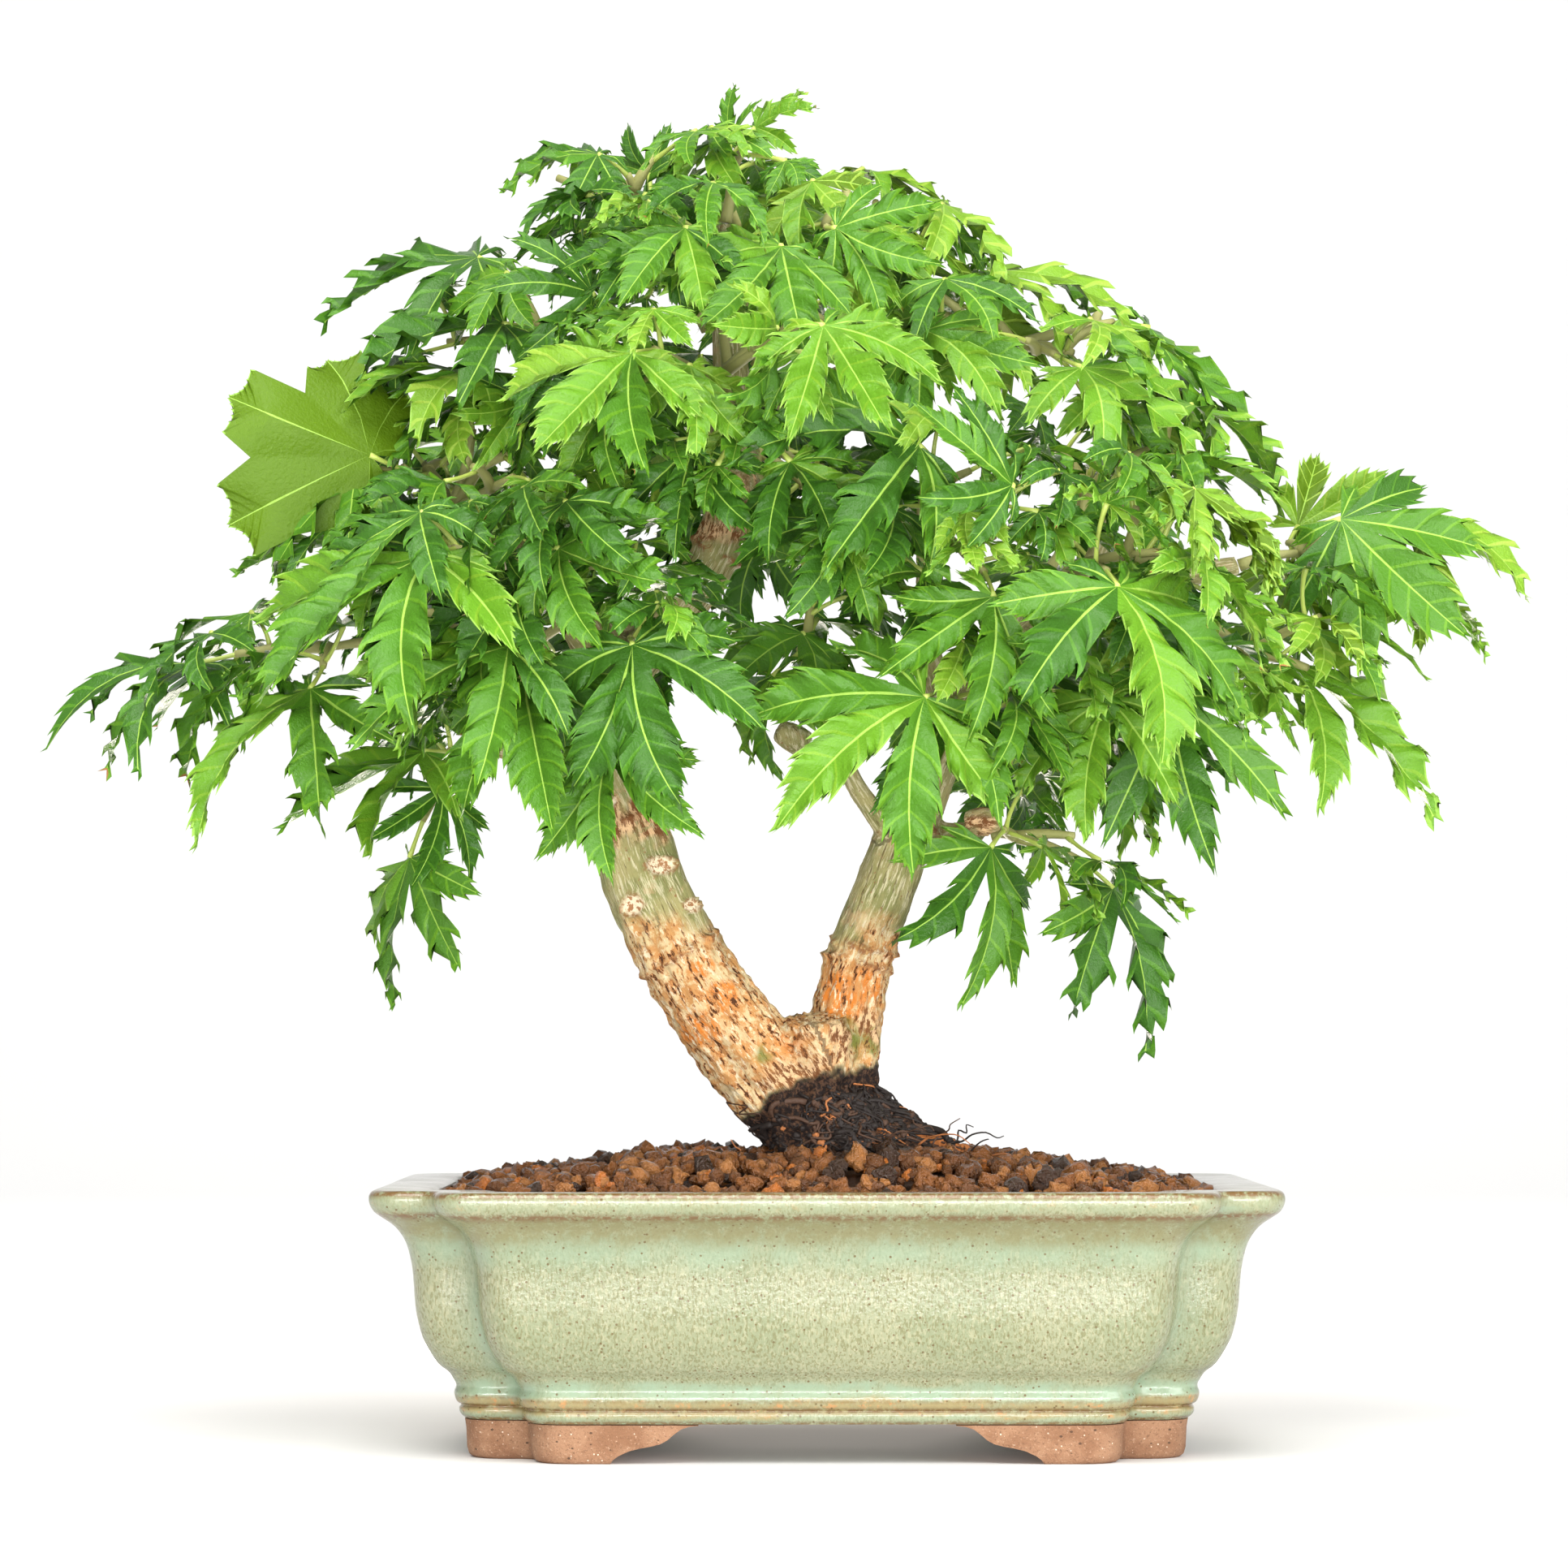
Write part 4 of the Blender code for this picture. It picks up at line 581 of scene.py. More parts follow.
def make_limbs():
    """{name: {"path": points, "radii": one for each point}} of every stem and bough.

    A bough starts on its parent's middle line, and is cut later where it comes out of the parent.
    """
    limbs = {}
    for side, pieces in STEM_PIECES.items():
        for name, first, last in pieces:
            limbs[name] = stem_piece(STEM_LINES[side], first, last)
    for name, (parent, share, bend, tip, foot_radius, tip_radius) in BOUGHS.items():
        foot = at_share(limbs[parent]["path"], share)[0]
        taper = [foot_radius + (tip_radius - foot_radius) * i / PATH_STEPS for i in range(PATH_STEPS + 1)]
        limbs[name] = {"path": bent_path(foot, Vector(bend), Vector(tip)), "radii": taper}
    return limbs


def frame_of(direction):
    """Two unit vectors at right angles to a direction."""
    other = Vector((0, 0, 1)) if abs(direction.z) < 0.9 else Vector((1, 0, 0))
    first = direction.cross(other).normalized()
    return first, direction.cross(first).normalized()


def heading_at(path, i):
    """The direction of a path at one of its points."""
    return (path[min(i + 1, len(path) - 1)] - path[max(i - 1, 0)]).normalized()


def ring_round(point, first, second, radius, sides):
    """A circle of points round a point, in the plane of two unit vectors."""
    turns = [2 * math.pi * k / sides for k in range(sides)]
    return [point + (first * math.cos(turn) + second * math.sin(turn)) * radius for turn in turns]


def ring_faces(rings, sides):
    """The four-cornered faces between rings of points that follow one another."""
    faces = []
    for ring in range(rings - 1):
        for k in range(sides):
            a, b = ring * sides + k, ring * sides + (k + 1) % sides
            faces.append((a, b, b + sides, a + sides))
    return faces


def end_caps(count, sides):
    """The faces that close the first and the last ring of so many points."""
    return [tuple(range(sides))[::-1], tuple(range(count - sides, count))]


def tube_faces(path, radii, sides):
    """(points, triangles) of a tapering tube, used only to test what touches what."""
    points, faces = [], []
    for i, (point, radius) in enumerate(zip(path, radii)):
        points += ring_round(point, *frame_of(heading_at(path, i)), radius, sides)
    for a, b, c, d in ring_faces(len(path), sides):
        faces += [(a, b, c), (a, c, d)]
    return points, faces


def leaf_edge(leaf):
    """The leaf's edge: tips and notches in order from one side of its base round to the other.

    A free leaf is drawn without the small pair of lobes at its base.
    """
    side = leaf["along"].cross(leaf["up"])
    lobes = LOBES[:-1] if leaf["free"] else LOBES
    spots = []
    for i, (angle, length) in enumerate(lobes):
        spots.append((angle, length))
        if i + 1 < len(lobes):
            notch = INNER_NOTCH if i == 2 else leaf["notch"]
            spots.append(((angle + lobes[i + 1][0]) / 2, notch))
    points = []
    for angle, share in [(-a, r) for a, r in reversed(spots[1:])] + spots:
        turn = math.radians(angle * leaf["spread"])
        drop = math.radians(LEAF_DROOP) * min(abs(angle) / 90, 1.2)
        flat = leaf["along"] * math.cos(turn) + side * math.sin(turn)
        reach = leaf["length"] * share
        points.append(leaf["hub"] + flat * reach * math.cos(drop) - leaf["up"] * reach * math.sin(drop))
    return points


def stalk_line(leaf):
    """Where a leaf's stalk starts, and where it ends at the blade's base."""
    return leaf["root"], leaf["hub"] - leaf["along"] * LEAF_BASE


def blade_faces(leaf):
    """(points, triangles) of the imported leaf's blade, used only to test what it touches.

    Its edge goes on round the end of the stalk, and it has a crown over its hub and one under it.
    """
    edge = leaf_edge(leaf)
    root, base = stalk_line(leaf)
    line = (base - root).normalized()
    side = leaf["along"].cross(leaf["up"])
    side = (side - line * side.dot(line)).normalized()
    back = leaf["up"] * max(line.dot(leaf["along"]), 0.0) - leaf["along"] * max(line.dot(leaf["up"]), 0.0)
    ends = [base + corner * STALK_RADIUS[1] for corner in (side, back.normalized(), -side)]
    half = leaf["up"] * (LEAF_THICKNESS / 2)
    count = len(edge)
    top, under = count + 3, count + 4
    over = list(range(count + 3))
    below = list(range(count)) + [count, count + 2]
    faces = [(a, top, b) for a, b in zip(over, over[1:] + over[:1])]
    faces += [(b, under, a) for a, b in zip(below, below[1:] + below[:1])]
    return edge + ends + [leaf["hub"] + half, leaf["hub"] - half], faces


def face_out(leaf_along, outward, lift, turn):
    """The leaf's upper side: out and up, at a right angle to its middle lobe."""
    up = outward + Vector((0, 0, lift))
    up = (up - leaf_along * up.dot(leaf_along)).normalized()
    return Matrix.Rotation(turn, 3, leaf_along) @ up


def make_leaf(hub, along, up, length, spread, notch, root, free):
    """A leaf as a record; a free one grew by the rule, and was not set out by hand."""
    return {
        "hub": hub, "along": along, "up": up, "length": length, "spread": spread, "notch": notch,
        "root": root, "free": free,
    }


def outward_of(point):
    """The level direction from the crown's axis to a point."""
    away = point - CROWN_AXIS
    away.z = 0
    return away.normalized()


def lead_leaf(lead, twig, draw, attempt):
    """A leading leaf as it was set out, a little smaller and turned further at each attempt."""
    hub, tip = Vector(lead[0]), Vector(lead[1])
    spread, notch = (lead + (1.0, NOTCH)[len(lead) - 2 :])[2:]
    along = (tip - hub).normalized()
    outward = outward_of(hub) * 0.7 + Vector((0, -0.5, 0))
    turn = math.radians(draw.uniform(-9, 9) * attempt)
    up = face_out(along, outward, 0.7, turn)
    length = (tip - hub).length * (1 - 0.015 * attempt)
    root = twig[-1] - (twig[-1] - twig[0]).normalized()
    return make_leaf(hub, along, up, length, spread * (1 - 0.015 * attempt), notch, root, False)


def free_leaf(mass, twig, slot, draw, attempt):
    """A leaf on a stalk from a twig's tip: each slot is turned a golden angle from the one before."""
    direction = (twig[-1] - twig[0]).normalized()
    tip = twig[-1] - direction * STALK_STEP * (slot + 1)
    first, second = frame_of(direction)
    turn = slot * GOLDEN_TURN + draw.uniform(-0.5, 0.5) + attempt * 0.9
    away = first * math.cos(turn) + second * math.sin(turn)
    stalk = direction * draw.uniform(0.2, 0.8) + away * 0.8 + Vector((0, 0, draw.uniform(0.1, 0.6)))
    stalk += outward_of(tip) * 0.35
    hub = tip + stalk.normalized() * draw.uniform(*STALK_LENGTH)
    heading = stalk.normalized() * 0.6 + outward_of(hub) * draw.uniform(0.2, 0.9)
    heading.z = 0
    along = (heading.normalized() - Vector((0, 0, draw.uniform(0.15, 1.5)))).normalized()
    up = face_out(along, outward_of(hub) * 0.5, 0.9, math.radians(draw.uniform(-28, 28)))
    length = mass["leaf"] * draw.uniform(0.8, 1.15) * (1 - 0.02 * attempt)
    return make_leaf(hub, along, up, length, draw.uniform(0.85, 1.12), NOTCH, tip, True)


class Space:
    """What is already grown, kept to test a new leaf against."""

    def __init__(self):
        self.held = []

    def add(self, owner, kind, points, faces):
        centre = sum(points, Vector()) / len(points)
        radius = max((p - centre).length for p in points)
        self.held.append((owner, kind, centre, radius, BVHTree.FromPolygons(points, faces)))

    def meets(self, owner, kind, points, faces, free_of):
        """True if these faces cross anything held, leaving out the pairs that free_of names."""
        centre = sum(points, Vector()) / len(points)
        radius = max((p - centre).length for p in points)
        tree = BVHTree.FromPolygons(points, faces)
        for other, other_kind, its_centre, its_radius, its_tree in self.held:
            if other == owner and (kind, other_kind) in free_of:
                continue
            if (centre - its_centre).length < radius + its_radius and tree.overlap(its_tree):
                return True
        return False


JOINED = {("stalk", "twig"), ("stalk", "stalk")}


def height_on(line, x):
    """The height of an outline at x, and of its end beyond it."""
    for (x0, z0), (x1, z1) in zip(line, line[1:]):
        if x0 <= x <= x1:
            return z0 + (z1 - z0) * (x - x0) / (x1 - x0)
    return line[0][1] if x < line[0][0] else line[-1][1]


def in_outline(point):
    """Whether a point lies inside the crown's outline as the eye sees it."""
    scale = -EYE[1] / (point.y - EYE[1])
    x = EYE[0] + (point.x - EYE[0]) * scale
    z = EYE[2] + (point.z - EYE[2]) * scale
    return CROWN_TOP[0][0] < x < CROWN_TOP[-1][0] and height_on(CROWN_SKIRT, x) < z < height_on(CROWN_TOP, x)


def well_hung(leaf):
    """A stalk has to reach its blade from behind or from under it, and not from the side."""
    root, base = stalk_line(leaf)
    line = (base - root).normalized()
    side = leaf["along"].cross(leaf["up"])
    return abs(side.dot(line)) < 0.8 and (line.dot(leaf["along"]) > 0.1 or line.dot(leaf["up"]) > 0.3)


def fits(space, name, leaf, mass):
    """Whether a leaf keeps to its mass's space and crosses nothing that is there."""
    points, faces = blade_faces(leaf)
    if leaf["free"] and not all(in_outline(p) for p in points):
        return False
    if any((p - mass["anchor"]).length > mass["reach"] or p.z < LOWEST_LEAF for p in points):
        return False
    if not well_hung(leaf) or space.meets(name, "blade", points, faces, JOINED):
        return False
    return not space.meets(name, "stalk", *tube_faces(stalk_line(leaf), STALK_RADIUS, 3), JOINED)


def place(space, name, leaf):
    """Keeps a leaf's space."""
    space.add(name, "blade", *blade_faces(leaf))
    space.add(name, "stalk", *tube_faces(stalk_line(leaf), STALK_RADIUS, 3))


def start_mass(name, limbs):
    """A mass's stem and the twigs that carry its leading leaves."""
    limb, share, anchor, reach, count, leaf, leads = MASSES[name]
    anchor = Vector(anchor)
    twigs = []
    for lead in leads:
        hub, sink = Vector(lead[0]), (Vector(lead[1]) - Vector(lead[0])).normalized()
        back = (anchor - hub).normalized()
        twigs.append([anchor, hub + (back * 0.8 - sink * 0.35).normalized() * STALK_LENGTH[0]])
    stem = [off_limb(limbs[limb], share, anchor, STEM_RADIUS), anchor]
    return {
        "stem": stem, "twigs": twigs, "leaves": [], "anchor": anchor, "reach": reach, "count": count,
        "leaf": leaf, "leads": leads,
    }


def free_twigs(name, mass):
    """More twigs, fanned round the way from the stem and the tree's middle outwards."""
    draw = random.Random(name)
    anchor = mass["anchor"]
    heading = outward_of(anchor) * 0.8 + (anchor - mass["stem"][0]).normalized() + Vector((0, 0, 0.35))
    first, second = frame_of(heading.normalized())
    more = max(1, math.ceil(mass["count"] / LEAVES_PER_TWIG) + 1 - len(mass["leads"]))
    twigs = []
    for i in range(more):
        turn = i * GOLDEN_TURN + draw.uniform(0, 2)
        away = first * math.cos(turn) + second * math.sin(turn)
        direction = (heading.normalized() + away * (0.7 + 1.1 * i / more)).normalized()
        twigs.append([anchor, anchor + direction * draw.uniform(*TWIG_LENGTH)])
    return twigs


def try_leaves(space, name, mass, make, label):
    """Adds the first of make's leaves that fits, drawing each from its own seed."""
    for attempt in range(LEAF_TRIES):
        leaf = make(random.Random(f"{name} {label} {attempt}"), attempt)
        if fits(space, name, leaf, mass):
            mass["leaves"].append(leaf)
            place(space, name, leaf)
            return


def twig_faces(twig):
    return tube_faces(twig, TWIG_RADIUS, 6)


def grow(limbs):
    """{mass name: its stem, twigs and leaves}, none of which crosses a limb or another mass."""
    space = Space()
    for name, limb in limbs.items():
        radii = [radius * 1.08 + 2 * TOUCH for radius in limb["radii"]]
        space.add(name, "limb", *tube_faces(limb["path"], radii, 8))
    masses = {name: start_mass(name, limbs) for name in MASSES}
    for name, mass in masses.items():
        for twig in [mass["stem"]] + mass["twigs"]:
            space.add(name, "twig", *twig_faces(twig))
    for name, mass in masses.items():
        for number, (lead, twig) in enumerate(zip(mass["leads"], mass["twigs"])):
            wide = dict(mass, reach=mass["reach"] * 1.4)
            make = lambda draw, attempt: lead_leaf(lead, twig, draw, attempt)
            try_leaves(space, name, wide, make, f"lead {number}")
    for name, mass in masses.items():
        for twig in free_twigs(name, mass):
            if not space.meets(name, "twig", *twig_faces(twig), {("twig", "twig")}):
                mass["twigs"].append(twig)
                space.add(name, "twig", *twig_faces(twig))
    for slot in range(LEAVES_PER_TWIG + 1):
        for name, mass in masses.items():
            for number, twig in enumerate(mass["twigs"]):
                if len(mass["leaves"]) < mass["count"]:
                    make = lambda draw, attempt: free_leaf(mass, twig, slot, draw, attempt)
                    try_leaves(space, name, mass, make, f"{number} {slot}")
    return masses, space


def grow_finer_leads(masses, space):
    """Adds the placed leaves of the scene alone, each on a twig of its own."""
    for number, (name, hub, tip) in enumerate(FINER_LEADS):
        mass = masses[name]
        hub, tip = Vector(hub), Vector(tip)
        back = (mass["anchor"] - hub).normalized()
        foot = hub + (back * 0.9 - (tip - hub).normalized() * 0.3).normalized() * STALK_LENGTH[0]
        twig = [mass["anchor"], foot]
        near = dict(mass, reach=mass["reach"] * 1.6)
        make = lambda draw, attempt: lead_leaf((hub, tip), twig, draw, attempt)
        before = len(mass["leaves"])
        try_leaves(space, name, near, make, f"finer lead {number}")
        if len(mass["leaves"]) > before:
            mass["twigs"].append(twig)


def side_twig(twig, draw):
    """A thinner twig that leaves another one part of the way up it."""
    foot = twig[0] + (twig[-1] - twig[0]) * draw.uniform(0.35, 0.9)
    direction = (twig[-1] - twig[0]).normalized()
    first, second = frame_of(direction)
    turn = draw.uniform(0, 2 * math.pi)
    heading = direction + (first * math.cos(turn) + second * math.sin(turn)) * 1.2
    return [foot, foot + heading.normalized() * draw.uniform(*FINER_TWIG)]


def grow_finer(masses, space):
    """Carries each mass on by the same rule, with side twigs that carry one to three small leaves."""
    for name, mass in masses.items():
        draw = random.Random("finer " + name)
        small = dict(mass, leaf=mass["leaf"] * FINER_SIZE)
        side_twigs = [side_twig(twig, draw) for twig in mass["twigs"] * (0 if name in OPEN_MASSES else 2)]
        touching = {("twig", "twig"), ("twig", "stalk")}
        clear = [not space.meets(name, "twig", *twig_faces(twig), touching) for twig in side_twigs]
        side_twigs = [twig for twig, free in zip(side_twigs, clear) if free]
        for number, side in enumerate(side_twigs):
            before = len(mass["leaves"])
            for slot in range(draw.randint(1, 3)):
                make = lambda draw, attempt: free_leaf(small, side, slot, draw, attempt)
                try_leaves(space, name, small, make, f"finer {number} {slot}")
            if len(mass["leaves"]) > before:
                mass["twigs"].append(side)
                space.add(name, "twig", *twig_faces(side))


def corner_arc(centre_x, centre_y, radius, start, turn, steps):
    """Points on an arc of a plan's corner, its angles in degrees."""
    angles = [math.radians(start + turn * i / steps) for i in range(steps + 1)]
    return [(centre_x + radius * math.cos(a), centre_y + radius * math.sin(a)) for a in angles]


def plan_outline(inset):
    """The pot's plan at a distance inside its rim: panels with rounded ends and corners that are cut in."""
    long_x, long_y = POT_LENGTH / 2 - inset, POT_DEPTH / 2 - inset
    cut_x, cut_y = long_x - CORNER_CUT_X, long_y - CORNER_CUT_Y
    r = CORNER_RADIUS
    quarter = corner_arc(long_x - r, cut_y - r, r, 0, 90, ARC_STEPS)
    quarter += corner_arc(cut_x + NOOK_RADIUS, cut_y + NOOK_RADIUS, NOOK_RADIUS, 270, -90, NOOK_STEPS)
    quarter += corner_arc(cut_x - r, long_y - r, r, 0, 90, ARC_STEPS)
    outline = list(quarter)
    outline += [(-x, y) for x, y in reversed(quarter)]
    outline += [(-x, -y) for x, y in quarter]
    outline += [(x, -y) for x, y in reversed(quarter)]
    return outline


def flare_ring(height, centre_x, centre_y, radius, root):
    """One ring of the root flare: lobed, and drawn out to the right where the main root runs."""
    ring = []
    for k in range(FLARE_SIDES):
        turn = 2 * math.pi * k / FLARE_SIDES
        lobe = 1 + FLARE_LOBE_DEPTH * math.cos(FLARE_LOBES * turn)
        right = max(0.0, math.cos(turn)) ** 3 * root
        reach = radius * lobe + right
        ring.append((centre_x + reach * math.cos(turn), centre_y + reach * 0.95 * math.sin(turn), height))
    return ring


def in_world(points):
    """Points in millimetres round the pot's middle as metres in the frame."""
    return (np.asarray(points, dtype=float) + np.array(HOME)) * MM


class Batch:
    """Points, faces and the faces' materials of many small shapes that become one piece."""

    def __init__(self):
        self.points, self.faces, self.tints, self.count = [], [], [], 0

    def add(self, points, faces, tints=0):
        """Adds a shape whose faces share one material's number, or have one each."""
        self.points.append(np.asarray(points, dtype=float))
        self.faces += [[i + self.count for i in face] for face in faces]
        self.tints += [tints] * len(faces) if isinstance(tints, int) else tints
        self.count += len(points)

    def piece(self, name, materials):
        return add_piece(name, np.concatenate(self.points), self.faces, materials, self.tints)


def add_piece(name, points, faces, materials, tints=None):
    """A smooth mesh that rides on the tree's body, from points in millimetres."""
    mesh = bpy.data.meshes.new(name)
    mesh.from_pydata(in_world(points), [], faces)
    for material in materials:
        mesh.materials.append(material)
    if tints:
        mesh.polygons.foreach_set("material_index", tints)
    mesh.shade_smooth()
    return add_object(name, mesh)


def link_object(name, data):
    obj = bpy.data.objects.new(name, data)
    bpy.context.scene.collection.objects.link(obj)
    return obj


def add_object(name, mesh):
    """A mesh as an object that rides on the tree's body."""
    obj = link_object(name, mesh)
    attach(obj, "root")
    return obj


def keep_values(mesh, name, values):
    """Stores one number, or one vector, for each point of a mesh, for its material to read."""
    values = np.asarray(values, dtype=np.float32)
    kind, key = ("FLOAT", "value") if values.ndim == 1 else ("FLOAT_VECTOR", "vector")
    mesh.attributes.new(name, kind, "POINT").data.foreach_set(key, values.ravel())


def mesh_points(mesh):
    """The places of a mesh's points, in millimetres."""
    flat = np.empty(len(mesh.vertices) * 3)
    mesh.vertices.foreach_get("co", flat)
    return flat.reshape(-1, 3) / MM


def smooth_step(low, high, value):
    """0 at low, 1 at high, and eased between them."""
    share = np.clip((np.asarray(value, dtype=float) - low) / (high - low), 0.0, 1.0)
    return share * share * (3 - 2 * share)


def carried_frames(path):
    """For each point of a path: two unit vectors across it, carried on without a twist, and its direction."""
    first = frame_of((path[1] - path[0]).normalized())[0]
    frames = []
    for i in range(len(path)):
        direction = heading_at(path, i)
        first = (first - direction * first.dot(direction)).normalized()
        frames.append((first, direction.cross(first), direction))
    return frames


def sweep(path, radii, sides):
    """(points, faces) of a round tube along a path, its ends closed."""
    points = []
    for point, radius, (first, second, _) in zip(path, radii, carried_frames(path)):
        points += ring_round(point, first, second, radius, sides)
    return points, ring_faces(len(path), sides) + end_caps(len(points), sides)


class Shading:
    """A material built from a Principled shader and the pattern nodes that feed it."""

    def __init__(self, name, colour, roughness, **sockets):
        self.material = bpy.data.materials.new(name)
        self.material.use_nodes = True
        self.tree = self.material.node_tree
        self.shader = self.tree.nodes["Principled BSDF"]
        self.put(self.shader, "Base Color", (*colour, 1.0))
        self.put(self.shader, "Roughness", roughness)
        for socket, value in sockets.items():
            self.put(self.shader, socket.replace("_", " "), value)

    def put(self, node, socket, value):
        """Sets an input of a node, or links it where the value is another node's output."""
        if isinstance(value, bpy.types.NodeSocket):
            self.tree.links.new(value, node.inputs[socket])
        else:
            node.inputs[socket].default_value = value

    def add(self, kind, inputs, **settings):
        node = self.tree.nodes.new(kind)
        for name, value in settings.items():
            setattr(node, name, value)
        for socket, value in inputs.items():
            self.put(node, socket, value)
        return node

    def attribute(self, name, output="Fac"):
        return self.add("ShaderNodeAttribute", {}, attribute_name=name).outputs[output]

    def place(self, stretch=(1, 1, 1), source=None):
        """Places on the piece in millimetres, drawn out by a stretch along each axis."""
        source = source or self.add("ShaderNodeTexCoord", {}).outputs["Object"]
        scale = [s / (MM if source.node.type == "TEX_COORD" else 1) for s in stretch]
        return self.add("ShaderNodeMapping", {"Vector": source, "Scale": scale}).outputs["Vector"]

    def noise(self, places, size, detail, roughness=0.55):
        inputs = {"Vector": places, "Scale": 1 / size, "Detail": detail, "Roughness": roughness}
        return self.add("ShaderNodeTexNoise", inputs).outputs["Fac"]

    def cells(self, places, size):
        """How far each place is from the nearest of many scattered points."""
        return self.add("ShaderNodeTexVoronoi", {"Vector": places, "Scale": 1 / size}).outputs["Distance"]

    def between(self, value, low, high, out_low=0.0, out_high=1.0):
        """Maps a value from low..high to out_low..out_high, and no further."""
        inputs = {"Value": value, "From Min": low, "From Max": high, "To Min": out_low, "To Max": out_high}
        return self.add("ShaderNodeMapRange", inputs, interpolation_type="SMOOTHSTEP").outputs["Result"]

    def maths(self, operation, a, b=0.0):
        node = self.add("ShaderNodeMath", {}, operation=operation)
        self.put(node, 0, a)
        self.put(node, 1, b)
        return node.outputs[0]

    def mix(self, share, a, b):
        """A colour between two colours."""
        node = self.add("ShaderNodeMix", {}, data_type="RGBA")
        self.put(node, "Factor", share)
        for socket, value in (("A", a), ("B", b)):
            target = next(s for s in node.inputs if s.name == socket and s.type == "RGBA")
            if isinstance(value, bpy.types.NodeSocket):
                self.tree.links.new(value, target)
            else:
                target.default_value = (*value, 1.0)
        return next(s for s in node.outputs if s.type == "RGBA")

    def lay(self, base, colour, *shares):
        """A colour laid over a base as far as the product of some shares reaches."""
        reach = shares[0]
        for share in shares[1:]:
            reach = self.maths("MULTIPLY", reach, share)
        return self.mix(reach, base, colour)

    def colour(self, value):
        self.put(self.shader, "Base Color", value)

    def roughness(self, value):
        self.put(self.shader, "Roughness", value)

    def relief(self, height, depth):
        """Bumps from a height, which is depth millimetres from its 0 to its 1."""
        bump = self.add("ShaderNodeBump", {"Height": height, "Distance": depth * MM, "Strength": 1.0})
        self.put(self.shader, "Normal", bump.outputs["Normal"])


def glaze_material():
    """Pale green glaze: aqua where it pools, brown where it breaks over an edge, and finely speckled.

    The olive band on the waist under the rim is painted shade.
    """
    glaze = Shading("glaze", (0.42, 0.44, 0.27), 0.16, Coat_Weight=0.35, Coat_Roughness=0.07)
    even = glaze.place()
    drawn = glaze.place((1, 1, 0.36))
    cloud = glaze.between(glaze.noise(even, 26, 4), 0.35, 0.65)
    base = glaze.mix(cloud, (0.200, 0.222, 0.124), (0.240, 0.250, 0.146))
    pale = glaze.between(glaze.noise(drawn, 0.7, 3, 0.6), 0.50, 0.62)
    base = glaze.lay(base, (0.36, 0.34, 0.21), pale, 0.42)
    flecks = glaze.between(glaze.noise(drawn, 0.5, 3, 0.6), 0.50, 0.41)
    base = glaze.lay(base, (0.120, 0.112, 0.034), flecks, 0.6)
    pools = glaze.between(glaze.noise(drawn, 7, 4, 0.65), 0.3, 0.6, 0.35, 1.0)
    base = glaze.lay(base, (0.225, 0.300, 0.200), glaze.attribute("aqua"), pools)
    # olive: painted shade on the waist under the rim, broken up by noise
    shade_breakup = glaze.between(glaze.noise(drawn, 2.4, 3, 0.6), 0.3, 0.6, 0.3, 0.85)
    base = glaze.lay(base, (0.175, 0.160, 0.066), glaze.attribute("olive_shade"), shade_breakup)
    milk = glaze.between(glaze.noise(even, 5, 4, 0.6), 0.3, 0.6, 0.35, 1.0)
    base = glaze.lay(base, (0.255, 0.205, 0.088), glaze.attribute("cream"), milk)
    stain = glaze.between(glaze.noise(even, 2.4, 4, 0.7), 0.55, 0.7)
    base = glaze.lay(base, (0.40, 0.20, 0.07), glaze.attribute("cream"), stain)
    rough_edge = glaze.between(glaze.noise(even, 1.6, 4, 0.7), 0.36, 0.56)
    base = glaze.lay(base, (0.135, 0.070, 0.020), glaze.attribute("broken"), rough_edge)
    spots = glaze.between(glaze.cells(even, 1.5), 0.22, 0.15)
    seldom = glaze.between(glaze.noise(even, 3, 1), 0.44, 0.54)
    glaze.colour(glaze.lay(base, (0.10, 0.06, 0.015), spots, seldom, 0.85))
    glaze.roughness(glaze.between(glaze.noise(even, 14, 3), 0.3, 0.7, 0.12, 0.28))
    glaze.relief(glaze.noise(even, 1.1, 4, 0.6), 0.22)
    return glaze.material


def stoneware_material():
    """Bare fired clay, matt and gritty, with pale specks painted for the glints of mica, and a few dark
    specks.
    """
    clay = Shading("stoneware", (0.40, 0.22, 0.13), 0.85)
    even = clay.place()
    cloud = clay.between(clay.noise(even, 7, 4), 0.35, 0.65)
    base = clay.mix(cloud, (0.225, 0.106, 0.052), (0.315, 0.168, 0.092))
    pale = clay.between(clay.noise(even, 0.55, 3, 0.7), 0.56, 0.80)
    base = clay.lay(base, (0.54, 0.36, 0.24), pale)
    dark = clay.between(clay.noise(clay.place((1, 1, 1.1)), 0.5, 3, 0.7), 0.44, 0.34)
    base = clay.lay(base, (0.17, 0.08, 0.04), dark)
    # pale specks that stand for glints of mica: painted glints
    painted_glints = clay.between(clay.cells(even, 1.0), 0.2, 0.13)
    seldom = clay.between(clay.noise(even, 1.7, 1), 0.54, 0.64)
    base = clay.lay(base, (0.70, 0.58, 0.46), painted_glints, seldom)
    specks = clay.between(clay.cells(clay.place((1, 1, 1.4)), 3.0), 0.14, 0.10)
    clay.colour(clay.lay(base, (0.055, 0.025, 0.012), specks, 0.85))
    clay.relief(clay.noise(even, 0.7, 4, 0.7), 0.45)
    return clay.material


def plain_pattern(name, colour, roughness, size, depth, **sockets):
    """A material of one plain colour whose fine grain is in its relief alone."""
    plain = Shading(name, colour, roughness, **sockets)
    plain.relief(plain.noise(plain.place(), size, 3, 0.6), depth)
    return plain.material


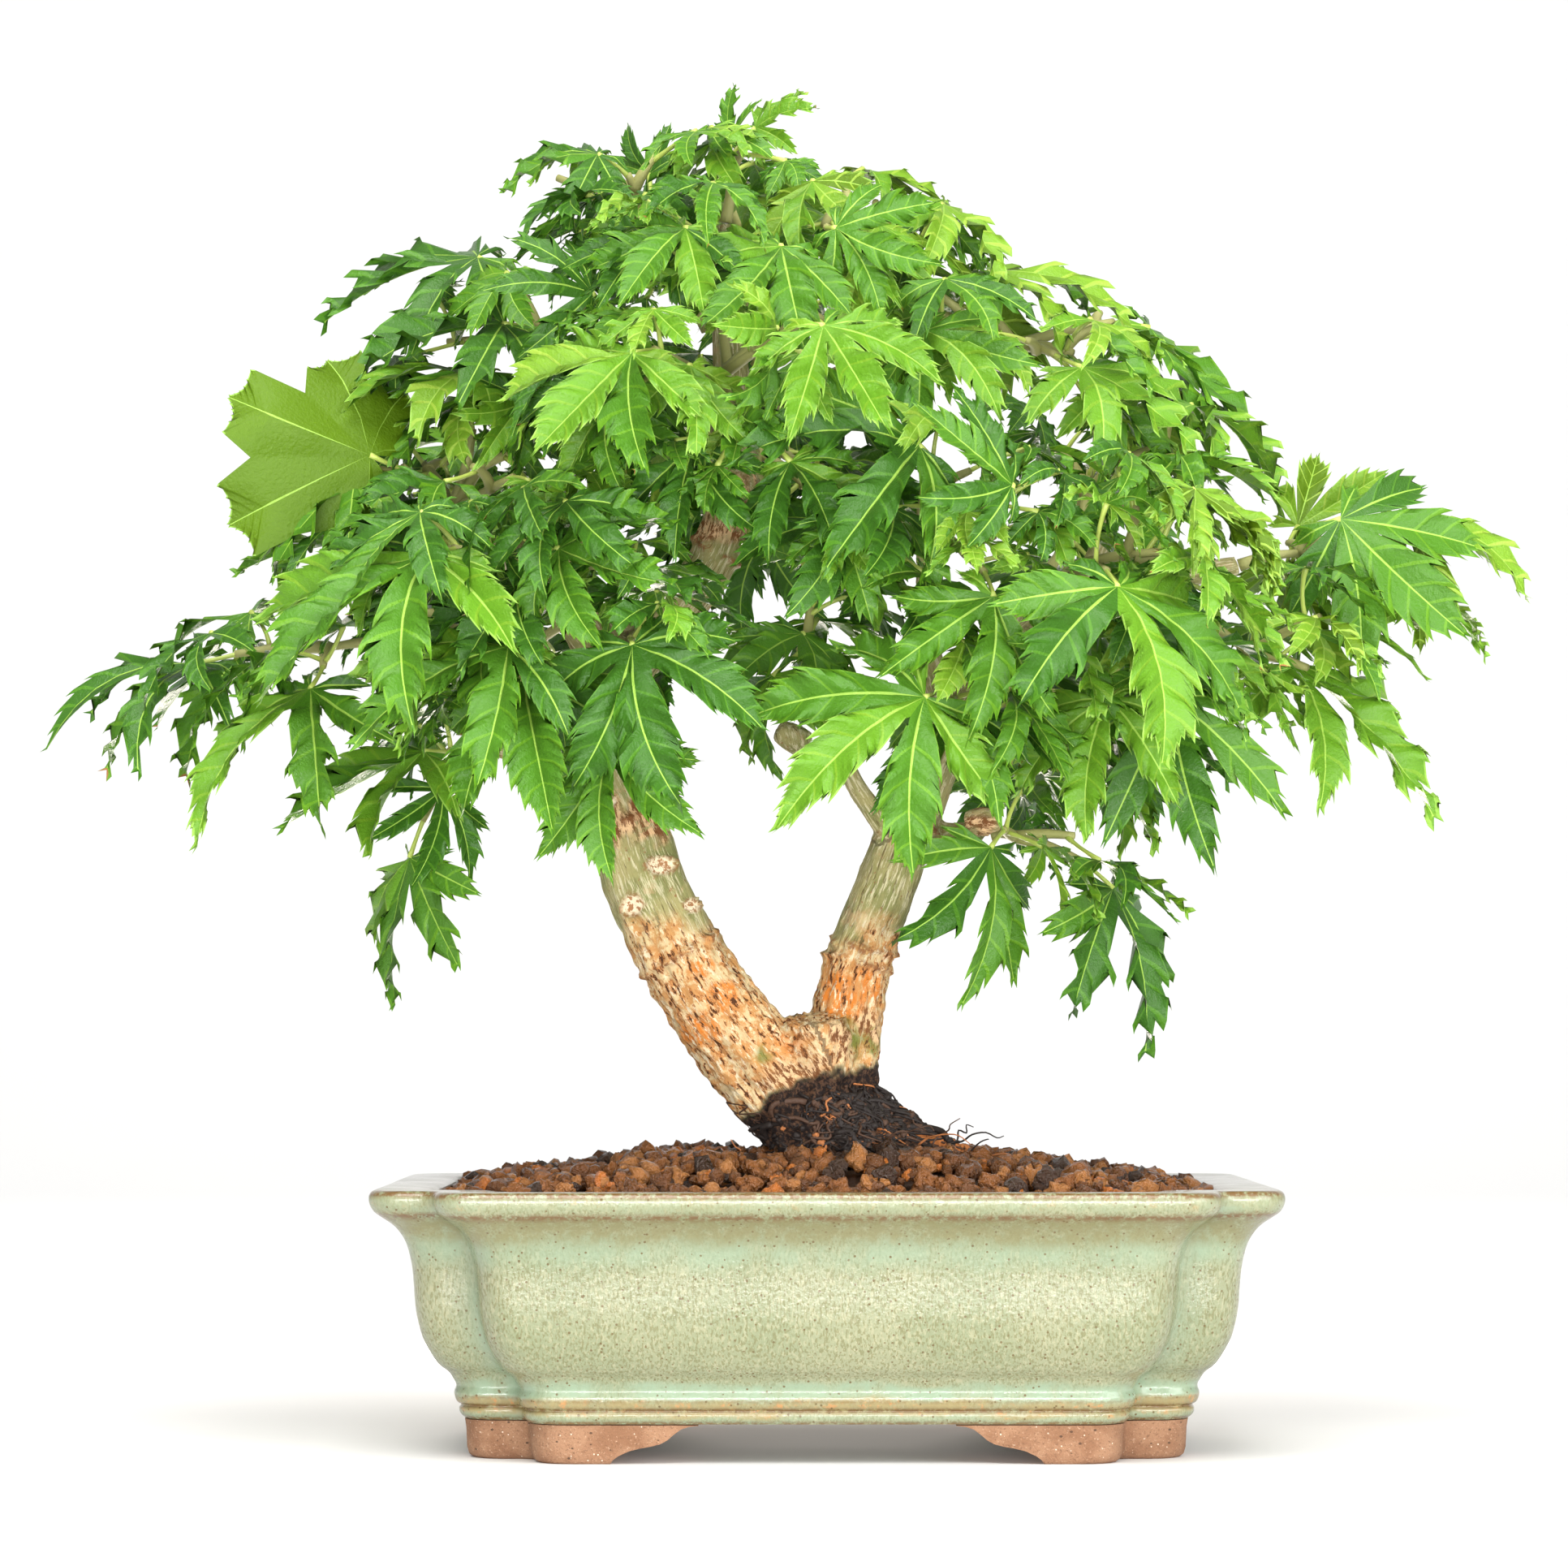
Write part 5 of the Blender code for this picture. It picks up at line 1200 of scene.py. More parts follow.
def catmull(rows, steps):
    """Rows of numbers with steps - 1 more between each two, on the smooth line through them."""
    rows = np.asarray(rows, dtype=float)
    padded = np.vstack([2 * rows[0] - rows[1], rows, 2 * rows[-1] - rows[-2]])
    found = []
    for i in range(1, len(padded) - 2):
        before, near, far, after = padded[i - 1 : i + 3]
        for k in range(steps):
            t = k / steps
            square = (2 * before - 5 * near + 4 * far - after) * t * t
            cube = (3 * near - before - 3 * far + after) * t**3
            found.append(near + 0.5 * ((far - before) * t + (square + cube)))
    found.append(rows[-1])
    return np.array(found)


def smooth_path(points, steps):
    """The smooth line through some points, as vectors."""
    return [Vector(p) for p in catmull(points, steps)]


def fine_outline(inset):
    """The pot's plan with points along its straight panels too, as many as the rim has."""
    rim = plan_outline(0.0)
    outline = plan_outline(inset)
    points = []
    for i, (x, y) in enumerate(outline):
        next_x, next_y = outline[(i + 1) % len(outline)]
        span = math.dist(rim[i], rim[(i + 1) % len(rim)])
        cuts = max(1, round(span / PANEL_STEP))
        points += [(x + (next_x - x) * k / cuts, y + (next_y - y) * k / cuts) for k in range(cuts)]
    return points


def wobble(point):
    """A small drift of the hand-made wall."""
    drift = noise.noise_vector(Vector([p * fineness for p, fineness in zip(point, WOBBLE_FINENESS)]))
    return (point[0] + drift.x * WOBBLE, point[1] + drift.y * WOBBLE, point[2])


def band(value, low, full, still_full, high):
    """1 from full to still_full, and down to 0 at low and high."""
    return smooth_step(low, full, value) * smooth_step(high, still_full, value)


def glaze_places(points, height, inset):
    """How far each look of the glaze reaches the pot's points, from their heights and distances inside."""
    level = height + np.array([noise.noise(Vector(p) * 0.09) for p in points]) * GLAZE_DRIFT
    x, y = np.abs(points).T[:2]
    corner_x = POT_LENGTH / 2 - inset - CORNER_CUT_X
    corner_y = POT_DEPTH / 2 - inset - CORNER_CUT_Y
    off_groove = (x - corner_x) ** 2 + (y - corner_y) ** 2
    looks = {}
    for name, bands in GLAZE_BANDS.items():
        looks[name] = sum(share * band(level, *heights) for *heights, share in bands)
    looks["aqua"] += 0.9 * np.exp(-(off_groove / GROOVE_SPREAD)) * (height < RIM_TOP - 2)
    looks["aqua"] += 0.35 * smooth_step(1.6, 4.0, inset) * smooth_step(14, 12, inset) * (height > RIM_TOP)
    looks["broken"] = sum(share * np.exp(-(((height - z) / width) ** 2)) for z, width, share in BROKEN_LINES)
    worn, width, share = WORN_LINE
    looks["broken"] += share * np.exp(-(((inset - worn) / width) ** 2)) * (height > RIM_TOP - 0.5)
    outside = inset < np.where(height < 20, 20, 16)
    return {name: np.clip(values, 0, 1) * outside for name, values in looks.items()}


def make_pot(material):
    """The glazed pot, from under its floor up over the rim and down to the soil."""
    noise.seed_set(WOBBLE_SEED)
    profile = catmull(GLAZED_PROFILE, PROFILE_STEPS)
    rings = [[wobble((x, y, height)) for x, y in fine_outline(inset)] for height, inset in profile]
    count = len(rings[0])
    points = [p for ring in rings for p in ring]
    faces = end_caps(len(points), count)[:1] + ring_faces(len(rings), count)
    pot = add_piece("pot_glazed", points, faces, [material])
    heights, insets = np.repeat(profile, count, axis=0).T
    for name, values in glaze_places(np.array(points), heights, insets).items():
        keep_values(pot.data, name, values)
    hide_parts("pot")


def closed_loft(name, rings):
    """A closed mesh object through rings in millimetres, with a cap at both ends."""
    points = [p for ring in rings for p in ring]
    first, last = end_caps(len(points), len(rings[0]))
    mesh = bpy.data.meshes.new(name)
    mesh.from_pydata(in_world(points), [], [first] + ring_faces(len(rings), len(rings[0])) + [last])
    work = bmesh.new()
    work.from_mesh(mesh)
    bmesh.ops.recalc_face_normals(work, faces=work.faces)
    work.to_mesh(mesh)
    work.free()
    return link_object(name, mesh)


def settled_mesh(obj):
    """The object's mesh with its modifiers applied; the object is removed."""
    bpy.context.view_layer.update()
    mesh = bpy.data.meshes.new_from_object(obj.evaluated_get(bpy.context.evaluated_depsgraph_get()))
    bpy.data.objects.remove(obj)
    return mesh


def make_feet(material):
    """Four feet of bare stoneware with a curved bracket along the front and soft edges."""
    for label, sign_x, sign_y in FEET:
        rings = [[(x, y, height) for x, y in fine_outline(inset)] for height, inset in FOOT_PROFILE]
        foot = closed_loft("foot", rings)
        ends = (FOOT_BACK_Y * sign_y, POT_DEPTH * sign_y)
        bracket = closed_loft("bracket", [[(x * sign_x, y, z) for x, z in BRACKET] for y in ends])
        cut = foot.modifiers.new("bracket", "BOOLEAN")
        cut.operation, cut.object, cut.solver = "INTERSECT", bracket, "EXACT"
        soften = foot.modifiers.new("edges", "BEVEL")
        soften.width, soften.segments = FOOT_EDGE * MM, 2
        soften.limit_method, soften.angle_limit = "ANGLE", 0.9
        mesh = settled_mesh(foot)
        bpy.data.objects.remove(bracket)
        mesh.materials.clear()
        mesh.materials.append(material)
        mesh.shade_smooth()
        mesh.set_sharp_from_angle(angle=0.7)
        piece = add_object(f"foot_{label}_bare", mesh)
        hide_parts(f"foot_{label}")


def bed_height(x, y):
    """The height of the soil's bed: heaped in the middle, lower along the rim, and uneven."""
    out_x, out_y = abs(x) / (POT_LENGTH / 2 - RIM_WIDTH), abs(y) / (POT_DEPTH / 2 - RIM_WIDTH)
    share = max(out_x, out_y) * 0.5 + 0.5 * math.hypot(out_x, out_y)
    drop = float(smooth_step(0.3, 1.05, share))
    lump = noise.noise(Vector((x * 0.045, y * 0.045, 3.0))) * 1.2
    crest = SOIL_TOP - 0.2
    return crest - (crest - SOIL_EDGE - 0.6) * drop + lump * (1 - 0.4 * drop)


def in_soil(x, y, margin):
    """Whether a place lies inside the rim's inner edge, by a margin."""
    x, y = abs(x), abs(y)
    long_x, long_y = POT_LENGTH / 2 - RIM_WIDTH - margin, POT_DEPTH / 2 - RIM_WIDTH - margin
    return x < long_x and y < long_y and (x < long_x - CORNER_CUT_X or y < long_y - CORNER_CUT_Y)


def make_bed():
    """The ground under the granules: a grid that reaches the inside of the rim."""
    columns, rows = (int(2 * reach / BED_STEP) + 1 for reach in SOIL_REACH)
    points, faces = [], []
    for row in range(rows):
        for column in range(columns):
            x = -SOIL_REACH[0] + 2 * SOIL_REACH[0] * column / (columns - 1)
            y = -SOIL_REACH[1] + 2 * SOIL_REACH[1] * row / (rows - 1)
            points.append((x, y, bed_height(x, y) - BED_SINK))
            here = row * columns + column
            corners = (here - columns - 1, here - columns, here, here - 1)
            if row and column and all(in_soil(*points[k][:2], 0.5) for k in corners):
                faces.append(corners)
    bed = Batch()
    bed.add(points, faces)
    return bed


def granule_shapes():
    """A few lumpy, broken shapes of baked clay, each about 1 in radius."""
    shapes = []
    for i in range(GRAIN_SHAPES):
        work = bmesh.new()
        bmesh.ops.create_icosphere(work, subdivisions=3 if i < FINE_GRAINS else 2, radius=1.0)
        points = []
        for vertex in work.verts:
            place = vertex.co + Vector((i * 7.3, 0, 0))
            swell = 1 + 0.5 * noise.noise(place * 1.2) + 0.42 * noise.noise(place * 2.6)
            points.append(vertex.co * swell)
        faces = [[v.index for v in face.verts] for face in work.faces]
        work.free()
        shapes.append((np.array(points), faces))
    return shapes


def any_turn(draw):
    """The transposed matrix of a turn by any angle about an axis that leans any way."""
    angle = draw.uniform(0, 6.28)
    axis = Vector((draw.gauss(0, 1), draw.gauss(0, 1), 1)).normalized()
    return np.array(Matrix.Rotation(angle, 3, axis)).T


def make_granules():
    """Granules of mixed sizes and browns, darker round the trunk, and finer where they are seen best."""
    draw = random.Random("soil")
    shapes = granule_shapes()
    grains = Batch()
    placed = 0
    while placed < GRAINS:
        x, y = (draw.uniform(-reach, reach) for reach in SOIL_REACH)
        if not in_soil(x, y, 2.0):
            continue
        size = draw.uniform(*GRAIN_SIZE) / 2 * draw.uniform(0.75, 1.2)
        by_root = math.hypot((x - 8) / 46, (y - 2) / 32)
        if by_root < 0.35:
            continue
        lift = draw.uniform(-1.0, 0.7) - (1.4 if not in_soil(x, y, size + 1) else 0)
        lift += 1.2 if in_soil(x, y, 10) else 0
        turn = any_turn(draw)
        stretch = np.array((draw.uniform(0.85, 1.25), draw.uniform(0.8, 1.1), draw.uniform(0.65, 0.9)))
        fine = placed % FINE_GRAINS
        plain = FINE_GRAINS + placed % (GRAIN_SHAPES - FINE_GRAINS)
        shape, faces = shapes[fine if y < -44 or by_root < 0.8 and y < 0 else plain]
        body = (shape * stretch * size) @ turn + (x, y, bed_height(x, y) + lift + size * 0.2)
        dark = by_root < 1.0 and draw.random() < 1.1 - by_root
        tint = 0 if dark and draw.random() < 0.6 else draw.choices(range(5), GRAIN_SHARES)[0]
        grains.add(body, faces, tint)
        placed += 1
    return grains


def make_soil(materials):
    """A bed of clay granules."""
    # the bed's darkest brown is painted shade in the gaps between the granules
    ground = make_bed().piece("soil_bed", materials[:1])
    heap = make_granules().piece("soil_granules", materials)
    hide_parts("soil")


def limb_samples():
    """(path, radii) of every stem and bough, in small steps."""
    lines = []
    for line in STEM_LINES.values():
        count = (len(line) - 1) * 8
        places = [on_line(line, (len(line) - 1) * k / count) for k in range(count + 1)]
        lines.append(([p[0] for p in places], [p[1] for p in places]))
    limbs = make_limbs()
    for name in BOUGHS:
        path = smooth_path(limbs[name]["path"], 5)
        shares, steps = np.linspace(0, 1, len(path)), np.linspace(0, 1, PATH_STEPS + 1)
        lines.append((path, list(np.interp(shares, steps, limbs[name]["radii"]))))
    return lines


def root_lines():
    """Surface roots that leave the flare and sink among the granules: (path, radii)."""
    draw = random.Random("roots")
    lines = []
    for turn, length, radius in ROOTS:
        path, radii = [], []
        bend = draw.uniform(-0.5, 0.5)
        crest = 12.5 if -40 < turn < 20 else 9.5
        for k in range(9):
            t = k / 8
            reach = 8 + length * t
            angle = math.radians(turn) + bend * t * t + 0.12 * math.sin(9 * t + turn)
            x, y = ROOT_CENTRE[0] + reach * math.cos(angle), ROOT_CENTRE[1] + reach * 0.9 * math.sin(angle)
            path.append(Vector((x, y, SOIL_TOP + crest * (1 - t) ** 1.9 - 2.2 * t)))
            radii.append(radius * (1 - 0.72 * t))
        lines.append((path, radii))
    return lines


def limb_tubes(lines):
    """Closed tubes that overlap: every limb, surface root and knob, and the lobed flare at their foot."""
    batch = Batch()
    for path, radii in lines + root_lines():
        batch.add(*sweep(path, radii, 14))
    rings = [flare_ring(*ring) for ring in ((FLARE[0][0] - 3.5, *FLARE[0][1:]), *FLARE)]
    points = [p for ring in rings for p in ring]
    batch.add(points, end_caps(len(points), FLARE_SIDES) + ring_faces(len(rings), FLARE_SIDES))
    for place, radius, heading in KNOBS:
        heading = Vector(heading).normalized()
        path = [Vector(place) + heading * radius * share for share in (-1, 0.4, 1.5)]
        batch.add(*sweep(path, [radius, radius * 1.05, radius * 0.75], 12))
    return batch


def one_skin(batch):
    """The mesh of one even skin round overlapping tubes."""
    mesh = bpy.data.meshes.new("bark")
    mesh.from_pydata(np.concatenate(batch.points) * MM, [], batch.faces)
    body = link_object("bark", mesh)
    skin = body.modifiers.new("skin", "REMESH")
    skin.mode, skin.voxel_size = "VOXEL", VOXEL * MM
    ease = body.modifiers.new("ease", "SMOOTH")
    ease.factor, ease.iterations = 0.5, 4
    return settled_mesh(body)


def make_bark(material):
    """The trunk, stems and boughs as one skin with the bark's relief."""
    lines = limb_samples()
    mesh = one_skin(limb_tubes(lines))
    points = mesh_points(mesh)
    normals = np.array([v.normal for v in mesh.vertices])
    looks = bark_places(points, lines)
    moved = points + normals * bark_relief(points, looks)[:, None]
    moved[:, 0] -= STEM_SHIFT * band(points[:, 2], 64, 78, 150, 185)
    mesh.vertices.foreach_set("co", in_world(moved).ravel())
    mesh.update()
    mesh.materials.append(material)
    mesh.shade_smooth()
    bark = add_object("bark", mesh)
    for name, values in looks.items():
        keep_values(mesh, name, values)
    limbs = [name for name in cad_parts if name.startswith(("trunk", "stem_", "bough_"))]
    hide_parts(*limbs)
    return bark


def crawling_root(skin, draw, number):
    """The path of a thin root that crawls down over the root mass."""
    turn = draw.gauss(-0.9, 0.9) if number % 4 else draw.uniform(0, 6.28)
    height = draw.uniform(67, 82)
    drift = draw.uniform(-0.22, 0.32)
    path = []
    for _ in range(draw.randint(5, 11)):
        outward = Vector((math.cos(turn), math.sin(turn), 0))
        start = Vector((*ROOT_CENTRE, max(height, LOWEST_ROOT))) + outward * 60
        hit, normal = skin.ray_cast(start, -outward)[:2]
        if hit is None:
            break
        sunk = min(0, height - LOWEST_ROOT) * 0.5
        path.append(hit + normal * draw.uniform(0.0, 0.7) + Vector((0, 0, sunk)))
        turn += drift * 0.4 + draw.uniform(-0.22, 0.22)
        height -= draw.uniform(-0.5, 2.4)
    return path


def add_fibres(fibres, skin, draw):
    """Thin roots that crawl down over the root mass and out over the granules."""
    for number in range(ROOT_FIBRES):
        path = crawling_root(skin, draw, number)
        if len(path) > 3:
            radius = draw.uniform(0.18, 0.5) if number % 9 else draw.uniform(0.6, 1.0)
            path = smooth_path(path, 3)
            radii = [radius * (1 - 0.7 * k / len(path)) for k in range(len(path))]
            fibres.add(*sweep(path, radii, 5), draw.choices(range(3), FIBRE_SHARES)[0])


def add_crumbs(fibres, skin, draw):
    """Crumbs of soil that cling to the root mass, below the line that it reaches."""
    shapes = granule_shapes()[FINE_GRAINS:]
    for number in range(ROOT_CRUMBS):
        turn, height = draw.gauss(-1.1, 1.0), draw.uniform(66, 78)
        outward = Vector((math.cos(turn), math.sin(turn), 0))
        hit = skin.ray_cast(Vector((*ROOT_CENTRE, height)) + outward * 60, -outward)[0]
        if hit is None or height > np.interp(hit.x, *zip(*ROOT_LINE)) - 4:
            continue
        shape, faces = shapes[number % len(shapes)]
        turn = any_turn(draw)
        size = draw.uniform(0.4, 1.0)
        fibres.add((shape * size) @ turn + hit, faces, draw.choices(range(3), FIBRE_SHARES)[0])


def add_hairs(fibres, skin, draw):
    """The few root hairs that stand free of the root mass."""
    for foot, tip, rise in HAIRS:
        foot = skin.find_nearest(Vector(foot))[0]
        tip = foot + (Vector(tip) - foot) * 0.7
        path = []
        for t in (0, 0.2, 0.4, 0.6, 0.8, 1):
            path.append(foot + (tip - foot) * t + Vector((0, 0, rise * 4 * t * (1 - t))))
        path = smooth_path([p + Vector([draw.uniform(-0.9, 0.9) for _ in range(3)]) for p in path], 3)
        radii = [0.3 - 0.2 * k / len(path) for k in range(len(path))]
        fibres.add(*sweep(path, radii, 5), draw.randint(0, 2))


def make_root_fibres(bark, materials):
    """What lies on the root mass: thin roots, crumbs of soil and a few free hairs."""
    draw = random.Random("fibres")
    points = [Vector(p) for p in mesh_points(bark.data) - np.array(HOME)]
    skin = BVHTree.FromPolygons(points, [tuple(f.vertices) for f in bark.data.polygons])
    fibres = Batch()
    add_fibres(fibres, skin, draw)
    add_crumbs(fibres, skin, draw)
    add_hairs(fibres, skin, draw)
    piece = fibres.piece("root_fibres", materials)


def bark_places(points, lines):
    """For each point of the bark: where it lies along and round its limb, and how far each look reaches."""
    centres, frames, alongs, sizes = [], [], [], []
    for number, (path, radii) in enumerate(lines):
        steps = [0.0] + [(b - a).length for a, b in zip(path, path[1:])]
        centres += path
        frames += carried_frames(path)
        alongs += list(np.cumsum(steps) + number * LIMB_APART)
        sizes += radii
    tree = KDTree(len(centres))
    for i, centre in enumerate(centres):
        tree.insert(centre, i)
    tree.balance()
    grain, girth = np.empty((len(points), 3)), np.empty(len(points))
    for k, point in enumerate(points):
        point = Vector(point)
        near = min(tree.find_n(point, 6), key=lambda found: found[2] / sizes[found[1]] ** 0.5)[1]
        off = point - centres[near]
        first, second, direction = frames[near]
        grain[k] = (off.dot(first), off.dot(second), (alongs[near] + off.dot(direction)) * BARK_STRETCH)
        girth[k] = sizes[near]
    x, y, z = points.T
    ragged = np.array([noise.noise(Vector(p) * 0.11) for p in points])
    fine = np.array([noise.noise(Vector(p) * 0.35 + Vector((9, 0, 0))) for p in points])
    root_line = np.interp(x, *zip(*ROOT_LINE)) + 2.2 * ragged + 1.8 * fine
    looks = {"grain": grain, "girth": girth, "root": smooth_step(1.0, -0.6, z - root_line)}
    looks["crust"] = smooth_step(121, 112, z + 7 * ragged + 3 * fine) * (1 - looks["root"])
    ring = np.zeros(len(points))
    for centre, direction, reach in RINGS:
        off = (points - centre) @ np.array(Vector(direction).normalized())
        near = np.linalg.norm(points - centre, axis=1) < reach
        ring = np.maximum(ring, np.exp(-(((off + 1.6 * ragged + 0.8 * fine) / 0.9) ** 2)) * near)
    for name, spots in (("rust", RUST_SPOTS), ("moss", MOSS_SPOTS), ("sore", SORES), ("bare", BARE_SPOTS)):
        looks[name] = near_spots(points, spots, 0.6 * ragged + 0.5 * fine, 0.5)
    looks["scar"] = near_spots(points, SCARS, 0.1 * fine, 0.85)
    rim = near_spots(points, SCARS, 0.1 * fine - 0.22, 0.85)
    looks["ring"] = np.maximum(ring * np.clip(0.7 + fine * 2.4, 0, 1), (rim - looks["scar"]) * 0.9)
    return looks


def near_spots(points, spots, ragged, core):
    """How far each point lies within a ragged edge round any of the spots, in full inside their core."""
    share = np.zeros(len(points))
    for centre, reach in spots:
        away = np.linalg.norm((points - centre) / reach, axis=1) + ragged
        share = np.maximum(share, smooth_step(1.1, core, away))
    return share


def bark_relief(points, looks):
    """How far each point of the bark stands out: lumps, fissures and flakes low down, fine lines high up."""
    shift = np.empty(len(points))
    grain, girth, crust, root = (looks[name] for name in ("grain", "girth", "crust", "root"))
    for k, (place, body) in enumerate(zip(grain, points)):
        place, body = Vector(place), Vector(body)
        lump = noise.noise(place * 0.2) * 0.11 * girth[k] + noise.noise(body * 0.22) * 0.05 * girth[k]
        fissure = abs(noise.noise(place * 0.5 + Vector((3, 0, 0)))) ** 0.5
        flake = noise.noise(Vector((place.x * 0.9, place.y * 0.9, place.z * 2.6)))
        line = noise.noise(place * 1.1)
        strand = abs(noise.noise(Vector((body.x * 0.26, body.y * 0.26, body.z * 0.13)))) ** 0.6
        low = -0.9 * (1 - min(1.0, fissure * 2.0)) + 0.6 * flake
        roots = 2.0 * strand - 0.9 + 0.9 * noise.noise(body * 0.45)
        shift[k] = lump + 0.2 * line + crust[k] * low * min(1.0, girth[k] / 7) + root[k] * roots
    torn = np.abs(grain[:, 0]) % RIDGE - 0.6
    return shift + 1.3 * looks["ring"] - 0.25 * looks["scar"] + 0.5 * looks["sore"] * torn


def bark_material():
    """Grey-green bark with fine streaks, a flaking cream crust and rust low down, and dark root fibre."""
    bark = Shading("bark", (0.5, 0.42, 0.3), 0.8, Specular_IOR_Level=0.25)
    even = bark.place()
    grain = bark.attribute("grain", "Vector")
    tight = bark.place((1, 1, 0.7), grain)
    plates = bark.place((1, 1, 2.0), grain)
    base = bark.lay(young_bark(bark, even, tight), old_bark(bark, even, plates), bark.attribute("crust"))
    moss = bark.between(bark.noise(plates, 2.4, 5, 0.75), 0.34, 0.48)
    base = bark.lay(base, (0.16, 0.19, 0.03), bark.attribute("moss"), moss)
    torn = bark.between(bark.noise(plates, 1.2, 5, 0.75), 0.47, 0.55)
    sore = bark.mix(torn, (0.19, 0.070, 0.022), (0.76, 0.50, 0.27))
    ragged = bark.between(bark.noise(even, 3, 4, 0.7), 0.30, 0.42)
    base = bark.lay(base, sore, bark.attribute("sore"), ragged)
    healed = bark.between(bark.noise(even, 1.0, 3, 0.6), 0.40, 0.52)
    scar = bark.mix(healed, (0.40, 0.19, 0.08), (0.90, 0.76, 0.54))
    base = bark.lay(base, scar, bark.attribute("scar"))
    collar = bark.between(bark.noise(even, 1.3, 4, 0.7), 0.42, 0.54)
    base = bark.lay(base, (0.26, 0.10, 0.035), bark.attribute("ring"), collar)
    threads = bark.between(bark.noise(even, 1.1, 5, 0.75), 0.46, 0.62)
    fibre = bark.mix(threads, (0.010, 0.005, 0.004), (0.095, 0.046, 0.024))
    fibre = bark.lay(fibre, (0.55, 0.19, 0.055), bark.attribute("bare"), moss)
    bark.colour(bark.lay(base, fibre, bark.attribute("root")))
    bark.roughness(bark.between(bark.noise(even, 3, 3), 0.3, 0.7, 0.6, 0.9))
    bark.relief(bark.noise(tight, 0.8, 5, 0.75), 0.9)
    return bark.material


def young_bark(bark, even, tight):
    """The colour of the bark high up: grey green with pale streaks, dark furrows and brown patches."""
    cloud = bark.between(bark.noise(even, 9, 4, 0.6), 0.36, 0.64)
    young = bark.mix(cloud, (0.225, 0.235, 0.080), (0.39, 0.345, 0.145))
    streak = bark.between(bark.noise(tight, 0.62, 4, 0.7), 0.50, 0.60)
    young = bark.lay(young, (0.66, 0.60, 0.38), streak, 0.85)
    furrow = bark.between(bark.noise(tight, 0.75, 3, 0.65), 0.42, 0.34)
    young = bark.lay(young, (0.12, 0.085, 0.028), furrow, 0.8)
    speck = bark.between(bark.noise(even, 1.1, 3, 0.6), 0.64, 0.70)
    young = bark.lay(young, (0.30, 0.13, 0.05), speck, 0.8)
    patch = bark.between(bark.noise(even, 6.5, 5, 0.7), 0.57, 0.66)
    return bark.lay(young, (0.60, 0.36, 0.20), patch, 0.4)


def old_bark(bark, even, plates):
    """The colour of the bark low down: cream plates with painted highlights, rusty rims, dark cracks and
    pits.
    """
    cloud = bark.between(bark.noise(even, 3.6, 5, 0.7), 0.44, 0.56)
    old = bark.mix(cloud, (0.58, 0.29, 0.10), (0.69, 0.52, 0.28))
    rust = bark.between(bark.noise(plates, 1.3, 5, 0.8), 0.40, 0.56)
    old = bark.lay(old, (0.68, 0.21, 0.028), bark.attribute("rust"), rust)
    # pale flecks on the plates: painted highlights
    pale = bark.between(bark.noise(plates, 1.0, 4, 0.65), 0.55, 0.62)
    old = bark.lay(old, (0.78, 0.66, 0.45), pale)
    rim = bark.between(bark.noise(plates, 1.2, 4, 0.7), 0.480, 0.435)
    old = bark.lay(old, (0.48, 0.18, 0.05), rim, 0.85)
    crack = bark.between(bark.noise(plates, 1.2, 4, 0.7), 0.420, 0.392)
    old = bark.lay(old, (0.085, 0.030, 0.010), crack)
    pits = bark.between(bark.noise(even, 1.1, 4, 0.7), 0.36, 0.31)
    return bark.lay(old, (0.12, 0.045, 0.015), pits, 0.9)


